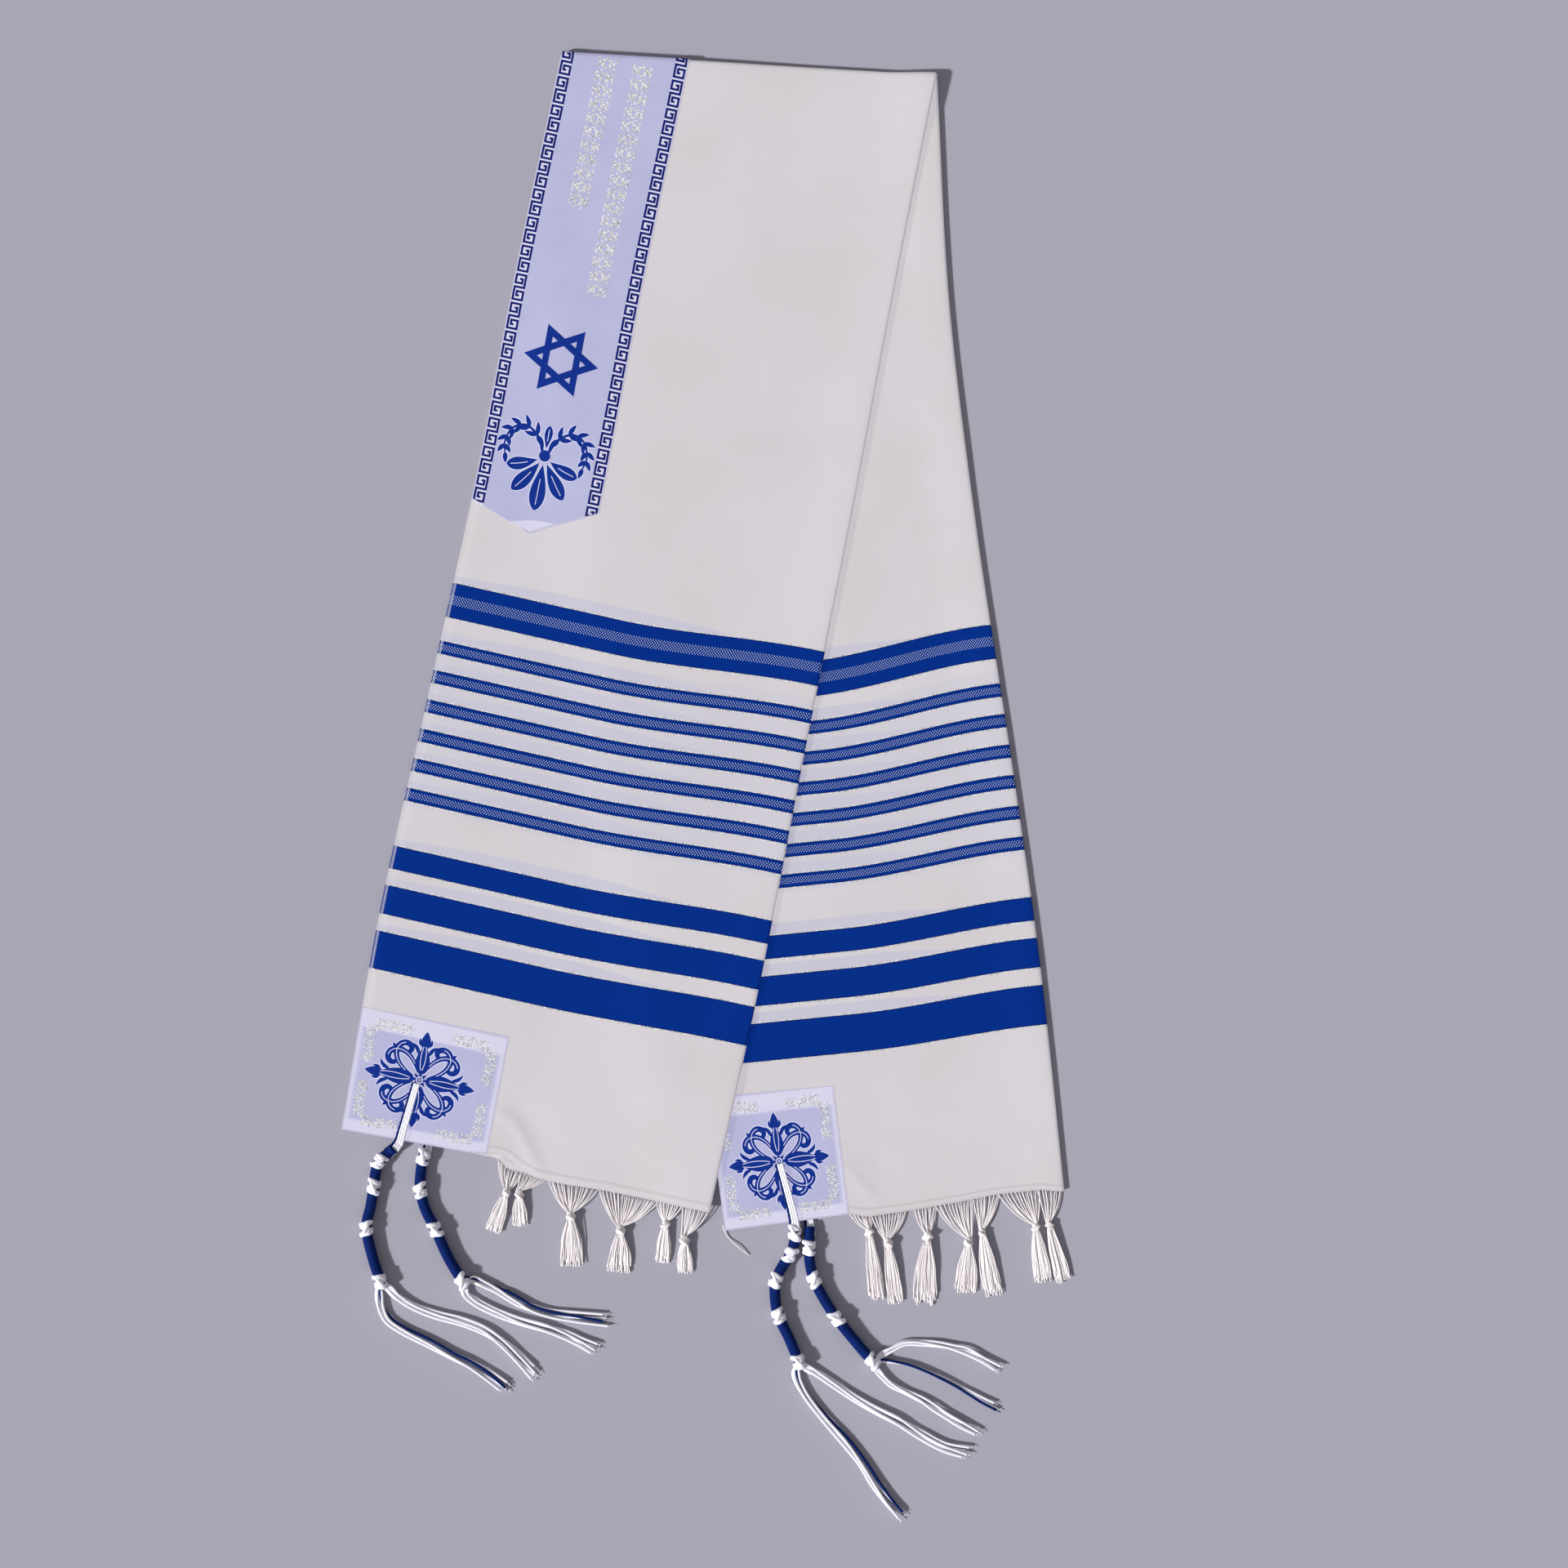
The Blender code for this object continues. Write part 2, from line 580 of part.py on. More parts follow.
def make_tassel(row, material):
    """Warp threads gathered from the cloth's end into a knot, with a loose skirt below it."""
    name, flap, across_from, across_to, knot_x, knot_y, end_x, end_y, knot_width, skirt_width = row
    radius = 0.5 * knot_width * MM
    skirt = skirt_width * MM
    knot = np.array([knot_x * MM, knot_y * MM, KNOT_WIDE * radius + FLOOR_GAP])
    end = np.array([end_x * MM, end_y * MM, 0.0])
    down = unit((end - knot) * [1, 1, 0])
    side = np.array([-down[1], down[0], 0.0])
    if side[0] < 0:
        side = -side
    bpy.ops.mesh.primitive_uv_sphere_add(segments=8, ring_count=6, radius=1.0)
    head = bpy.context.active_object
    head.name = name
    for collection in list(head.users_collection):
        collection.objects.unlink(head)
    SHAWL_PARTS.objects.link(head)
    head.scale = (radius, KNOT_LONG * radius, KNOT_WIDE * radius)
    head.rotation_euler = (0, 0, math.atan2(down[1], down[0]) + math.pi / 2)
    head.location = knot
    strands = []
    for k in range(FAN_STRANDS):
        share = k / (FAN_STRANDS - 1)
        start = end_edge_point(flap, lerp(across_from, across_to, share))
        inside = knot - down * ROOT_DEEP * radius + side * ROOT_SPREAD * radius * (share - 0.5)
        way = inside - start
        middle = start + down * FAN_DROP * np.dot(way, down) + side * FAN_DRAW * np.dot(way, side)
        middle[2] = lerp(start[2], inside[2], 0.5)
        strands.append([(point, FAN_RADIUS) for point in (start, middle, inside)])
    for k in range(SKIRT_STRANDS):
        share = k / (SKIRT_STRANDS - 1)
        upper = k % 2
        inside = knot + down * ROOT_DEEP * radius + side * ROOT_SPREAD * radius * (share - 0.5)
        inside[2] = knot[2] + (upper - 0.5) * SKIRT_LEVELS
        tip = end + side * skirt * (share - 0.5) - down * SKIRT_ROUND * abs(share - 0.5)
        tip[2] = FLOOR_GAP + SKIRT_RADIUS + upper * SKIRT_LEVELS
        middle = lerp(inside, tip, 0.5) + side * SKIRT_BULGE * skirt * (share - 0.5)
        strands.append([(point, SKIRT_RADIUS) for point in (inside, middle, tip)])
    join_to(head, tube_object(name + "_tubes", strands, 0), material)


def core_tube(rows):
    """Middle line and radius of the bound stretch of a corner cord."""
    radii = {"bundle": BUNDLE_RADIUS, "coil": COIL_RADIUS, "knot": KNOT_RADIUS}
    core = [(np.array([x, y]) * MM, kind) for x, y, kind in rows["core"]]
    under = "from_edge" in rows
    if under:
        flap, across = rows["from_edge"]
        edge = end_edge_point(flap, across)[:2]
        ahead = unit(HEM[flap][-1] - HEM[flap][-2])
        core = [(edge, "bundle"), (edge + ahead * EDGE_LEAD, "bundle")] + core
    count = 3 * len(core)
    path = curve_through([point for point, _ in core], count)
    places = np.linspace(0, len(core) - 1, count)
    sizes = np.interp(places, range(len(core)), [radii[kind] for _, kind in core])
    on_cloth = PIECE_LIFT + STRIP + PIECE_LIFT + SEAM_GAP
    tube = []
    for point, place, radius in zip(path, places, sizes):
        height = radius + FLOOR_GAP
        if not under:
            fallen = smooth((place - DROP_FROM) / (DROP_TO - DROP_FROM))
            height = max(height, radius + on_cloth * (1 - fallen))
        tube.append((np.array([*point, height]), float(radius)))
    return tube


def make_tzitzit(name, rows, material):
    """A corner cord: wound and knotted stretch, then eight loose strands."""
    tube = core_tube(rows)
    last = tube[-1][0]
    onward = unit(last - tube[-2][0])
    tube.append((last + onward * 0.5 * KNOT_RADIUS, 0.6 * KNOT_RADIUS))
    head = new_object(name, tube_object(name + "_core", [tube], 1), material)
    strands = []
    for amount, *points in rows["groups"]:
        route = curve_through(np.array(points) * MM, GROUP_STEPS)
        heading = unit(route[0] - last[:2])
        for k in range(amount):
            shift = (k - (amount - 1) / 2) * CORD_PITCH
            inside = last[:2] + np.array([-heading[1], heading[0]]) * shift
            line = [(np.array([*inside, last[2]]), CORD_RADIUS)]
            for step, point in enumerate(route):
                ahead = unit(route[min(step + 1, GROUP_STEPS - 1)] - route[max(step - 1, 0)])
                place = point + np.array([-ahead[1], ahead[0]]) * shift * (1 + GROUP_OPENING * step)
                height = lerp(0.6 * last[2], CORD_RADIUS + FLOOR_GAP, smooth(0.5 * step))
                line.append((np.array([*place, height]), CORD_RADIUS))
            strands.append(line)
    join_to(head, tube_object(name + "_tubes", strands, 0), material)


def make_material(name, colour, roughness):
    material = bpy.data.materials.new(name)
    material.use_nodes = True
    shader = material.node_tree.nodes["Principled BSDF"]
    shader.inputs["Base Color"].default_value = (*colour, 1.0)
    shader.inputs["Roughness"].default_value = roughness
    shader.inputs["Metallic"].default_value = 0.0
    return material


for old in list(bpy.data.objects):
    bpy.data.objects.remove(old)
SHAWL_PARTS = bpy.data.collections.new("prayer_shawl")
CUTTERS = bpy.data.collections.new("cutters")
bpy.context.scene.collection.children.link(SHAWL_PARTS)
bpy.context.scene.collection.children.link(CUTTERS)

cloth = make_material("cloth", (0.69, 0.64, 0.68), 0.9)
lavender = make_material("lavender", (0.48, 0.48, 0.69), 0.8)
thread = make_material("thread", (0.76, 0.72, 0.75), 0.9)
cord = make_material("cord", (0.80, 0.78, 0.85), 0.85)

make_shawl(cloth)
make_band(lavender)
make_patches(lavender)
for tassel_row in TASSELS:
    make_tassel(tassel_row, thread)
for tzitzit_name, tzitzit_rows in TZITZIT.items():
    make_tzitzit(tzitzit_name, tzitzit_rows, cord)
for placed in [*SHAWL_PARTS.objects, *CUTTERS.objects]:
    placed.location.x -= FOOTPRINT_CENTRE[0] * MM
    placed.location.y -= FOOTPRINT_CENTRE[1] * MM
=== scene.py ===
"""Looks of the folded prayer shawl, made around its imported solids. Metres, +Z up.

The cloth lies as one sheet folded in half along its length and then across. Every piece is placed by
where it is on the strip: its share across from hem to fold, and its travel along from the crosswise fold.
"""
import math

import bmesh
import bpy
import numpy as np
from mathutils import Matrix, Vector


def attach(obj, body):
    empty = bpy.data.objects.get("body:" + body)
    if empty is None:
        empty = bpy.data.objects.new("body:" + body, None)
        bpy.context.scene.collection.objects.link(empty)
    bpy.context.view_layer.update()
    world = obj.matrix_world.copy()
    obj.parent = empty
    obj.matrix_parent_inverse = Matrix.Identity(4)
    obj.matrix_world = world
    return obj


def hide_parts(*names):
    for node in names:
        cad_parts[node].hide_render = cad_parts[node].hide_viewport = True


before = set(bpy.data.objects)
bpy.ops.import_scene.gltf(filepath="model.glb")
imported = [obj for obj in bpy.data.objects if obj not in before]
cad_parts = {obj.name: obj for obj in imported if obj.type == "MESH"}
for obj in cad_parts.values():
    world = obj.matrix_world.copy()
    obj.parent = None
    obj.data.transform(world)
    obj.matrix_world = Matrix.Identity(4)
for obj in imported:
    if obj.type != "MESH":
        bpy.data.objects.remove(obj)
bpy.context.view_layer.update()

MM = 0.001
FOOTPRINT_CENTRE = np.array([-1.9, -0.3]) * MM
RANDOM = np.random.default_rng(7)

# The cloth, with the same sizes as its solid
CUT_WIDTH = 0.600
CUT_LENGTH = 1.836
STRIP_WIDTH = 0.5 * CUT_WIDTH
STRIP = 2.4 * MM
ROLL = 5.0 * MM
ROLL_REACH = 0.15            # share across over which the roll rises
FLAP_SPACE = 0.6 * MM
FOLD_PUFF = 3.4 * MM
PUFF_REACH = 0.07
PUFF_AT_ROLL = 0.5
PUFF_FALLS = (0.85, 0.14)    # share across where the puff starts to settle, and over how much
COVER_NEAR = 25 * MM
COVER_FAR = 85 * MM
PIECE_LIFT = 1.3 * MM
CLOTH_WALL = 0.45 * MM
SEAM_GAP = 0.3 * MM

# Pieces sewn on
BAND_SHARE = 0.34
BAND_END = 0.4136
BAND_TIP = 0.438
PATCH_SHARE = {"front": 0.39, "back": 0.365}
PATCH_START = 0.887
PATCH_EASE = 0.12
PATCH_EASE_START = 0.83
BAND_EASE = 0.34
BAND_EASE_AHEAD = 0.12

# Flap edges: share along, hem x, hem y, lengthwise fold x, lengthwise fold y, in millimetres
EDGES = {
    "front": (
        (0.0, -118.5, 584.0, 183.0, 566.5),
        (0.2, -155.0, 415.5, 148.0, 388.0),
        (0.4, -188.5, 242.0, 113.5, 205.0),
        (0.6, -226.5, 69.5, 77.0, 22.0),
        (0.8, -265.0, -103.0, 41.5, -161.0),
        (1.0, -295.5, -277.0, 1.5, -343.0),
    ),
    "back": (
        (0.0, -118.5, 584.0, 184.5, 565.5),
        (0.2, -92.5, 399.0, 194.0, 388.0),
        (0.4, -66.0, 210.0, 215.5, 208.5),
        (0.6, -39.5, 20.5, 242.5, 30.0),
        (0.8, -12.5, -168.5, 267.5, -149.0),
        (1.0, 13.0, -358.5, 286.5, -328.0),
    ),
}

# Waves of the fringed ends: share across, reach of the outer and of the inner layer past a straight end
END_WAVES = {
    "front": (
        (0.0, 0.0, 0.0),
        (0.34, -4.0, -4.0),
        (0.39, -6.0, -4.0),
        (0.42, -8.0, -4.0),
        (0.45, -6.5, 3.0),
        (0.485, 0.0, 3.5),
        (0.53, 4.5, 4.5),
        (0.61, 4.5, 4.5),
        (0.7, 2.6, 2.6),
        (1.0, 0.0, 0.0),
    ),
    "back": (
        (0.0, 0.0, 0.0),
        (0.34, -2.0, -2.0),
        (0.365, -2.5, -2.5),
        (0.42, 2.4, 1.5),
        (0.53, 1.0, 1.0),
        (0.7, -2.0, -2.0),
        (0.8, -4.5, -4.5),
        (0.93, -4.5, -4.5),
        (1.0, -1.0, -1.0),
    ),
}
WAVE_START = 0.85
UNDERSIDE_SHARE = 0.4

# Woven stripes: middle from the fringed end, width, then middle and width of the dotted band, in millimetres
STRIPES = (
    (435.4, 28.2, 435.7, 7.8),
    (396.8, 10.8, 396.8, 5.1),
    (372.7, 10.8, 372.7, 5.1),
    (348.6, 10.8, 348.6, 5.1),
    (324.6, 10.8, 324.6, 5.1),
    (300.3, 10.8, 300.3, 5.1),
    (276.1, 10.8, 276.1, 5.1),
    (224.4, 18.8, None, 0.0),
    (190.0, 23.5, None, 0.0),
    (149.3, 30.8, None, 0.0),
)
DOT_PITCH = 2.24 * MM
DOT_ROWS = 1.34 * MM
DOT_ROWS_FROM = STRIPES[1][2] * MM
SILVER_LINE = 1.25 * MM

# Where the crosswise fold crosses the cloth at the hems, from the middle, and its slant to the other edge
FOLD_AT_HEM = 36.2 * MM
FOLD_SLANT = 49.3 * MM

# How the two layers slid on each other when folded: distance from the middle, front, back, in millimetres
SLIP = ((0, 0.0, 0.0), (470, -11.2, -15.8), (753, -6.6, -8.6), (918, 0.0, 0.0))


def smooth(value):
    """0 to 1 with level ends."""
    value = np.clip(value, 0.0, 1.0)
    return value * value * (3 - 2 * value)


def lerp(a, b, share):
    return a + (b - a) * share


def unit(vector):
    return vector / np.linalg.norm(vector, axis=-1, keepdims=True)


def catmull(points, share):
    """A smooth curve through evenly spaced points, at each share."""
    last = len(points) - 1
    place = np.clip(share, 0.0, 1.0) * last
    k = np.minimum(place.astype(int), last - 1)
    t = (place - k)[..., None]
    padded = np.concatenate([[2 * points[0] - points[1]], points, [2 * points[-1] - points[-2]]])
    p0, p1, p2, p3 = (padded[k + step] for step in range(4))
    return 0.5 * (2 * p1 + (p2 - p0) * t + (2 * p0 - 5 * p1 + 4 * p2 - p3) * t ** 2
                  + (3 * p1 - p0 - 3 * p2 + p3) * t ** 3)


HEM = {flap: np.array([row[1:3] for row in rows]) * MM - FOOTPRINT_CENTRE for flap, rows in EDGES.items()}
FOLD = {flap: np.array([row[3:5] for row in rows]) * MM - FOOTPRINT_CENTRE for flap, rows in EDGES.items()}


def edge_length(points):
    samples = catmull(points, np.linspace(0, 1, 200))
    return float(np.linalg.norm(np.diff(samples, axis=0), axis=1).sum())


HEM_LENGTH = {flap: edge_length(HEM[flap]) for flap in HEM}
FOLD_LENGTH = {flap: edge_length(FOLD[flap]) for flap in FOLD}


def flap_length(flap, across):
    return lerp(HEM_LENGTH[flap], FOLD_LENGTH[flap], across)


def end_reach(flap, layer, across, along):
    """How far the wavy fringed end moves a point along the strip."""
    rows = np.array(END_WAVES[flap])
    column = {"outer": 1, "inner": 2}[layer]
    wave = np.interp(across, rows[:, 0], rows[:, column]) * MM
    return wave * np.maximum((along - WAVE_START) / (1 - WAVE_START), 0.0) ** 2


def flat_place(flap, across, along, reach=0.0):
    """Where points of the strip lie seen from above."""
    hem = catmull(HEM[flap], along)
    fold = catmull(FOLD[flap], along)
    hem_end = HEM[flap][-1] - HEM[flap][-2]
    fold_end = FOLD[flap][-1] - FOLD[flap][-2]
    ahead = unit(lerp(hem_end, fold_end, across[..., None]))
    return lerp(hem, fold, across[..., None]) + ahead * np.asarray(reach)[..., None]


def locate(flap, point):
    """Share across and along of places seen from above."""
    along = np.full(point.shape[:-1], 0.5)
    across = along
    for _ in range(12):
        hem = catmull(HEM[flap], along)
        width = catmull(FOLD[flap], along) - hem
        across = ((point - hem) * width).sum(-1) / (width * width).sum(-1)
        ahead = np.minimum(along + 0.01, 1.0)
        step = catmull(HEM[flap], ahead) - catmull(HEM[flap], ahead - 0.01)
        off = point - hem - width * across[..., None]
        along = np.clip(along + 0.01 * (off * step).sum(-1) / (step * step).sum(-1), 0.0, 1.0)
    return across, along


def thickness(across):
    return STRIP + (ROLL - STRIP) * smooth((across - 1 + ROLL_REACH) / (ROLL_REACH - 0.01))


def patch_lift(flap, across, along):
    """1 over a corner patch, falling to 0 beside it."""
    side = 1 - smooth((across - PATCH_SHARE[flap]) / PATCH_EASE)
    return side * smooth((along - PATCH_EASE_START) / (PATCH_START - PATCH_EASE_START))


def band_lift(across, along):
    side = 1 - smooth((across - BAND_SHARE) / BAND_EASE)
    return side * (1 - smooth((along - BAND_TIP) / BAND_EASE_AHEAD))


def back_under(across, along):
    """Height of the back flap's underside, over the hidden half of the band and the hidden patch."""
    across = np.maximum(across, 0.0)
    return PIECE_LIFT * np.maximum(band_lift(across, along), patch_lift("back", across, along))


def front_under(across, along):
    """Height of the front flap's underside: on the back flap, and left of it on the floor."""
    back_across, back_along = locate("back", flat_place("front", across, along))
    outside = -back_across * STRIP_WIDTH
    cover = 1 - smooth((outside - COVER_NEAR) / (COVER_FAR - COVER_NEAR))
    back_top = back_under(back_across, back_along) + thickness(back_across)
    back_top += PIECE_LIFT * patch_lift("back", np.maximum(back_across, 0.0), back_along)
    settled = PUFF_AT_ROLL * smooth((across - PUFF_FALLS[0]) / PUFF_FALLS[1])
    puff = FOLD_PUFF * (1 - smooth(along / PUFF_REACH)) * (1 - settled)
    floor = PIECE_LIFT * patch_lift("front", across, along)
    return np.maximum(cover * (back_top + FLAP_SPACE), floor) + puff


def with_height(flat, height):
    return np.concatenate([flat, np.asarray(height)[..., None]], axis=-1)


# Soft ridges and troughs: share across and along from and to, half width and height in millimetres
CREASES = {
    "front": (
        (0.392, 0.957, 0.462, 0.969, 3.0, 1.5),
        (0.455, 0.968, 0.540, 0.995, 3.2, 2.2),
        (0.43, 0.945, 0.56, 0.968, 5.0, -0.8),
        (0.56, 0.972, 0.96, 0.974, 4.5, -0.5),
        (0.45, 0.905, 0.62, 0.93, 12.0, 0.45),
        (0.66, 0.90, 0.88, 0.955, 14.0, -0.4),
        (0.50, 0.74, 0.92, 0.79, 18.0, 0.5),
        (0.05, 0.52, 0.30, 0.60, 16.0, 0.45),
        (0.42, 0.50, 0.95, 0.46, 20.0, -0.6),
        (0.55, 0.28, 0.80, 0.40, 18.0, 0.55),
        (0.40, 0.10, 0.60, 0.26, 15.0, -0.5),
        (0.72, 0.03, 0.90, 0.16, 13.0, 0.6),
        (0.06, 0.68, 0.34, 0.74, 14.0, -0.4),
        (0.10, 0.20, 0.26, 0.34, 14.0, 0.3),
        (0.04, 0.955, 0.17, 0.975, 6.0, 0.5),
        (0.20, 0.90, 0.34, 0.925, 7.0, 0.5),
    ),
    "back": (
        (0.375, 0.960, 0.450, 0.985, 3.2, 1.6),
        (0.40, 0.945, 0.52, 0.965, 5.0, -0.6),
        (0.50, 0.974, 0.95, 0.972, 4.5, -0.5),
        (0.45, 0.88, 0.70, 0.92, 14.0, 0.45),
        (0.62, 0.78, 0.95, 0.84, 18.0, -0.5),
        (0.58, 0.62, 0.80, 0.72, 18.0, 0.5),
        (0.70, 0.42, 0.95, 0.55, 16.0, -0.6),
        (0.80, 0.22, 0.97, 0.33, 14.0, 0.5),
        (0.12, 0.84, 0.30, 0.80, 14.0, 0.3),
        (0.02, 0.985, 0.16, 0.955, 5.0, 0.9),
        (0.20, 0.995, 0.35, 0.945, 6.0, 0.9),
        (0.05, 0.93, 0.14, 0.905, 7.0, -0.5),
    ),
}


def crease_height(flap, across, along):
    """Height of the soft creases at places of a flap."""
    place = np.stack([across * STRIP_WIDTH, along * flap_length(flap, across)], axis=-1)
    total = np.zeros(place.shape[:-1])
    for across_from, along_from, across_to, along_to, half, height in CREASES[flap]:
        first = np.array([across_from * STRIP_WIDTH, along_from * flap_length(flap, across_from)])
        way = np.array([across_to * STRIP_WIDTH, along_to * flap_length(flap, across_to)]) - first
        share = np.clip(((place - first) @ way) / (way @ way), 0.0, 1.0)
        off = np.linalg.norm(place - first - share[..., None] * way, axis=-1)
        strength = 0.4 + 0.6 * np.sin(math.pi * share)
        total += height * MM * strength * np.exp(-0.5 * (off / (half * MM)) ** 2)
    return total * smooth(along / 0.02)


def skins(flap, across, along):
    """Outer and inner skin of the strip. The outer one is on top in the front flap and below in the back."""
    outer = flat_place(flap, across, along, end_reach(flap, "outer", across, along))
    inner = flat_place(flap, across, along, end_reach(flap, "inner", across, along))
    crease = crease_height(flap, across, along)
    if flap == "front":
        low = front_under(across, along)
        return with_height(outer, low + thickness(across) + crease), with_height(inner, low)
    low = back_under(across, along)
    hollow = UNDERSIDE_SHARE * np.abs(crease)
    return with_height(outer, low + hollow), with_height(inner, low + thickness(across) + crease)


TURN_EDGE = FOLD["front"][0] - HEM["front"][0]
TURN_AWAY = unit(np.array([-TURN_EDGE[1], TURN_EDGE[0], 0.0]))
UP = np.array([0.0, 0.0, 1.0])


def turn_skins(across, turn):
    """Outer and inner skin round the crosswise fold, from the front flap (0) to the back flap (1)."""
    start = np.zeros_like(across)
    front = skins("front", across, start)
    back = skins("back", across, start)
    angle = (math.pi * (0.5 - turn))[..., None]
    made = []
    for top, low in zip(front, back):
        radius = 0.5 * (top[..., 2] - low[..., 2])[..., None]
        centre = lerp(top, low, turn[..., None])
        centre[..., 2] = 0.5 * (top[..., 2] + low[..., 2])
        made.append(centre + TURN_AWAY * radius * np.cos(angle) + UP * radius * np.sin(angle))
    return made


TURN_LENGTH = math.pi * 0.5 * (2 * STRIP + FLAP_SPACE + FOLD_PUFF)


def strip_pair(across, travel):
    """Outer and inner skin at a travel in metres: front flap above 0, back flap below -TURN_LENGTH."""
    across, travel = np.broadcast_arrays(np.asarray(across, float), np.asarray(travel, float))
    outer = np.zeros((*across.shape, 3))
    inner = np.zeros_like(outer)
    front = travel >= 0
    back = travel <= -TURN_LENGTH
    turn = ~(front | back)
    if front.any():
        share = travel[front] / flap_length("front", across[front])
        outer[front], inner[front] = skins("front", across[front], share)
    if back.any():
        share = (-travel[back] - TURN_LENGTH) / flap_length("back", across[back])
        outer[back], inner[back] = skins("back", across[back], share)
    if turn.any():
        outer[turn], inner[turn] = turn_skins(across[turn], -travel[turn] / TURN_LENGTH)
    return outer, inner


def on_strip(side, across, travel, lift):
    """Points this far off the strip's outer or inner skin."""
    outer, inner = strip_pair(across, travel)
    through = unit(outer - inner)
    lift = np.asarray(lift, float)[..., None]
    return outer + through * lift if side == "outer" else inner - through * lift


def from_middle(flap, across, along):
    """Distance along the flat cloth from its middle, which the crosswise fold crosses slantwise."""
    fold_at = FOLD_AT_HEM - FOLD_SLANT * across
    flat = along * flap_length(flap, across) + (fold_at if flap == "front" else -fold_at)
    rows = np.array(SLIP)
    slip = np.interp(flat, rows[:, 0] * MM, rows[:, 1 if flap == "front" else 2] * MM)
    return flat - slip * smooth((across - 0.45) / 0.55)


# Meshes

def new_mesh_object(name, points, faces, material, attributes=None, smooth_angle=None):
    mesh = bpy.data.meshes.new(name)
    mesh.from_pydata(np.asarray(points, float).tolist(), [], faces)
    for key, values in (attributes or {}).items():
        data = mesh.attributes.new(key, "FLOAT_VECTOR", "POINT")
        data.data.foreach_set("vector", np.asarray(values, np.float32).ravel())
    mesh.shade_smooth()
    if smooth_angle is not None:
        mesh.set_sharp_from_angle(angle=math.radians(smooth_angle))
    mesh.validate()
    obj = bpy.data.objects.new(name, mesh)
    obj.data.materials.append(material)
    bpy.context.scene.collection.objects.link(obj)
    return obj


def grid_faces(rows, columns, start=0):
    corners = [start + j * columns + i for j in range(rows - 1) for i in range(columns - 1)]
    return [(a, a + 1, a + 1 + columns, a + columns) for a in corners]


def thin_sheet(name, top, low, material, flats):
    """A closed thin sheet between two grids of points, with the flat cut kept on both."""
    rows, columns = top.shape[:2]
    shift = rows * columns
    faces = grid_faces(rows, columns) + grid_faces(rows, columns, shift)
    rim = ([(0, i) for i in range(columns)] + [(j, columns - 1) for j in range(1, rows)]
           + [(rows - 1, i) for i in range(columns - 2, -1, -1)] + [(j, 0) for j in range(rows - 2, 0, -1)])
    ids = [j * columns + i for j, i in rim]
    faces += [(a, b, b + shift, a + shift) for a, b in zip(ids, ids[1:] + ids[:1])]
    points = np.concatenate([top.reshape(-1, 3), low.reshape(-1, 3)])
    cut = np.concatenate([flats.reshape(-1, 2)] * 2)
    obj = new_mesh_object(name, points, faces, material, {"cut": np.pad(cut, ((0, 0), (0, 1)))})
    face_outwards(obj.data)
    obj.data.set_sharp_from_angle(angle=math.radians(40))
    return obj


def face_outwards(mesh):
    built = bmesh.new()
    built.from_mesh(mesh)
    bmesh.ops.recalc_face_normals(built, faces=built.faces)
    built.to_mesh(mesh)
    built.free()


def add_wall(obj, amount):
    """Gives a sheet this thickness, inwards."""
    modifier = obj.modifiers.new("wall", "SOLIDIFY")
    modifier.thickness = amount
    modifier.offset = -1
    modifier.use_rim = True
    modifier.use_even_offset = False


# Node materials

class Value:
    """A number or colour in a material. Arithmetic on it adds math nodes."""

    __array_ufunc__ = None

    def __init__(self, graph, socket):
        self.graph = graph
        self.socket = socket

    def __add__(self, other):
        return self.graph.math("ADD", self, other)

    def __sub__(self, other):
        return self.graph.math("SUBTRACT", self, other)

    def __rsub__(self, other):
        return self.graph.math("SUBTRACT", other, self)

    def __mul__(self, other):
        return self.graph.math("MULTIPLY", self, other)

    def __truediv__(self, other):
        return self.graph.math("DIVIDE", self, other)

    def __abs__(self):
        return self.graph.math("ABSOLUTE", self)


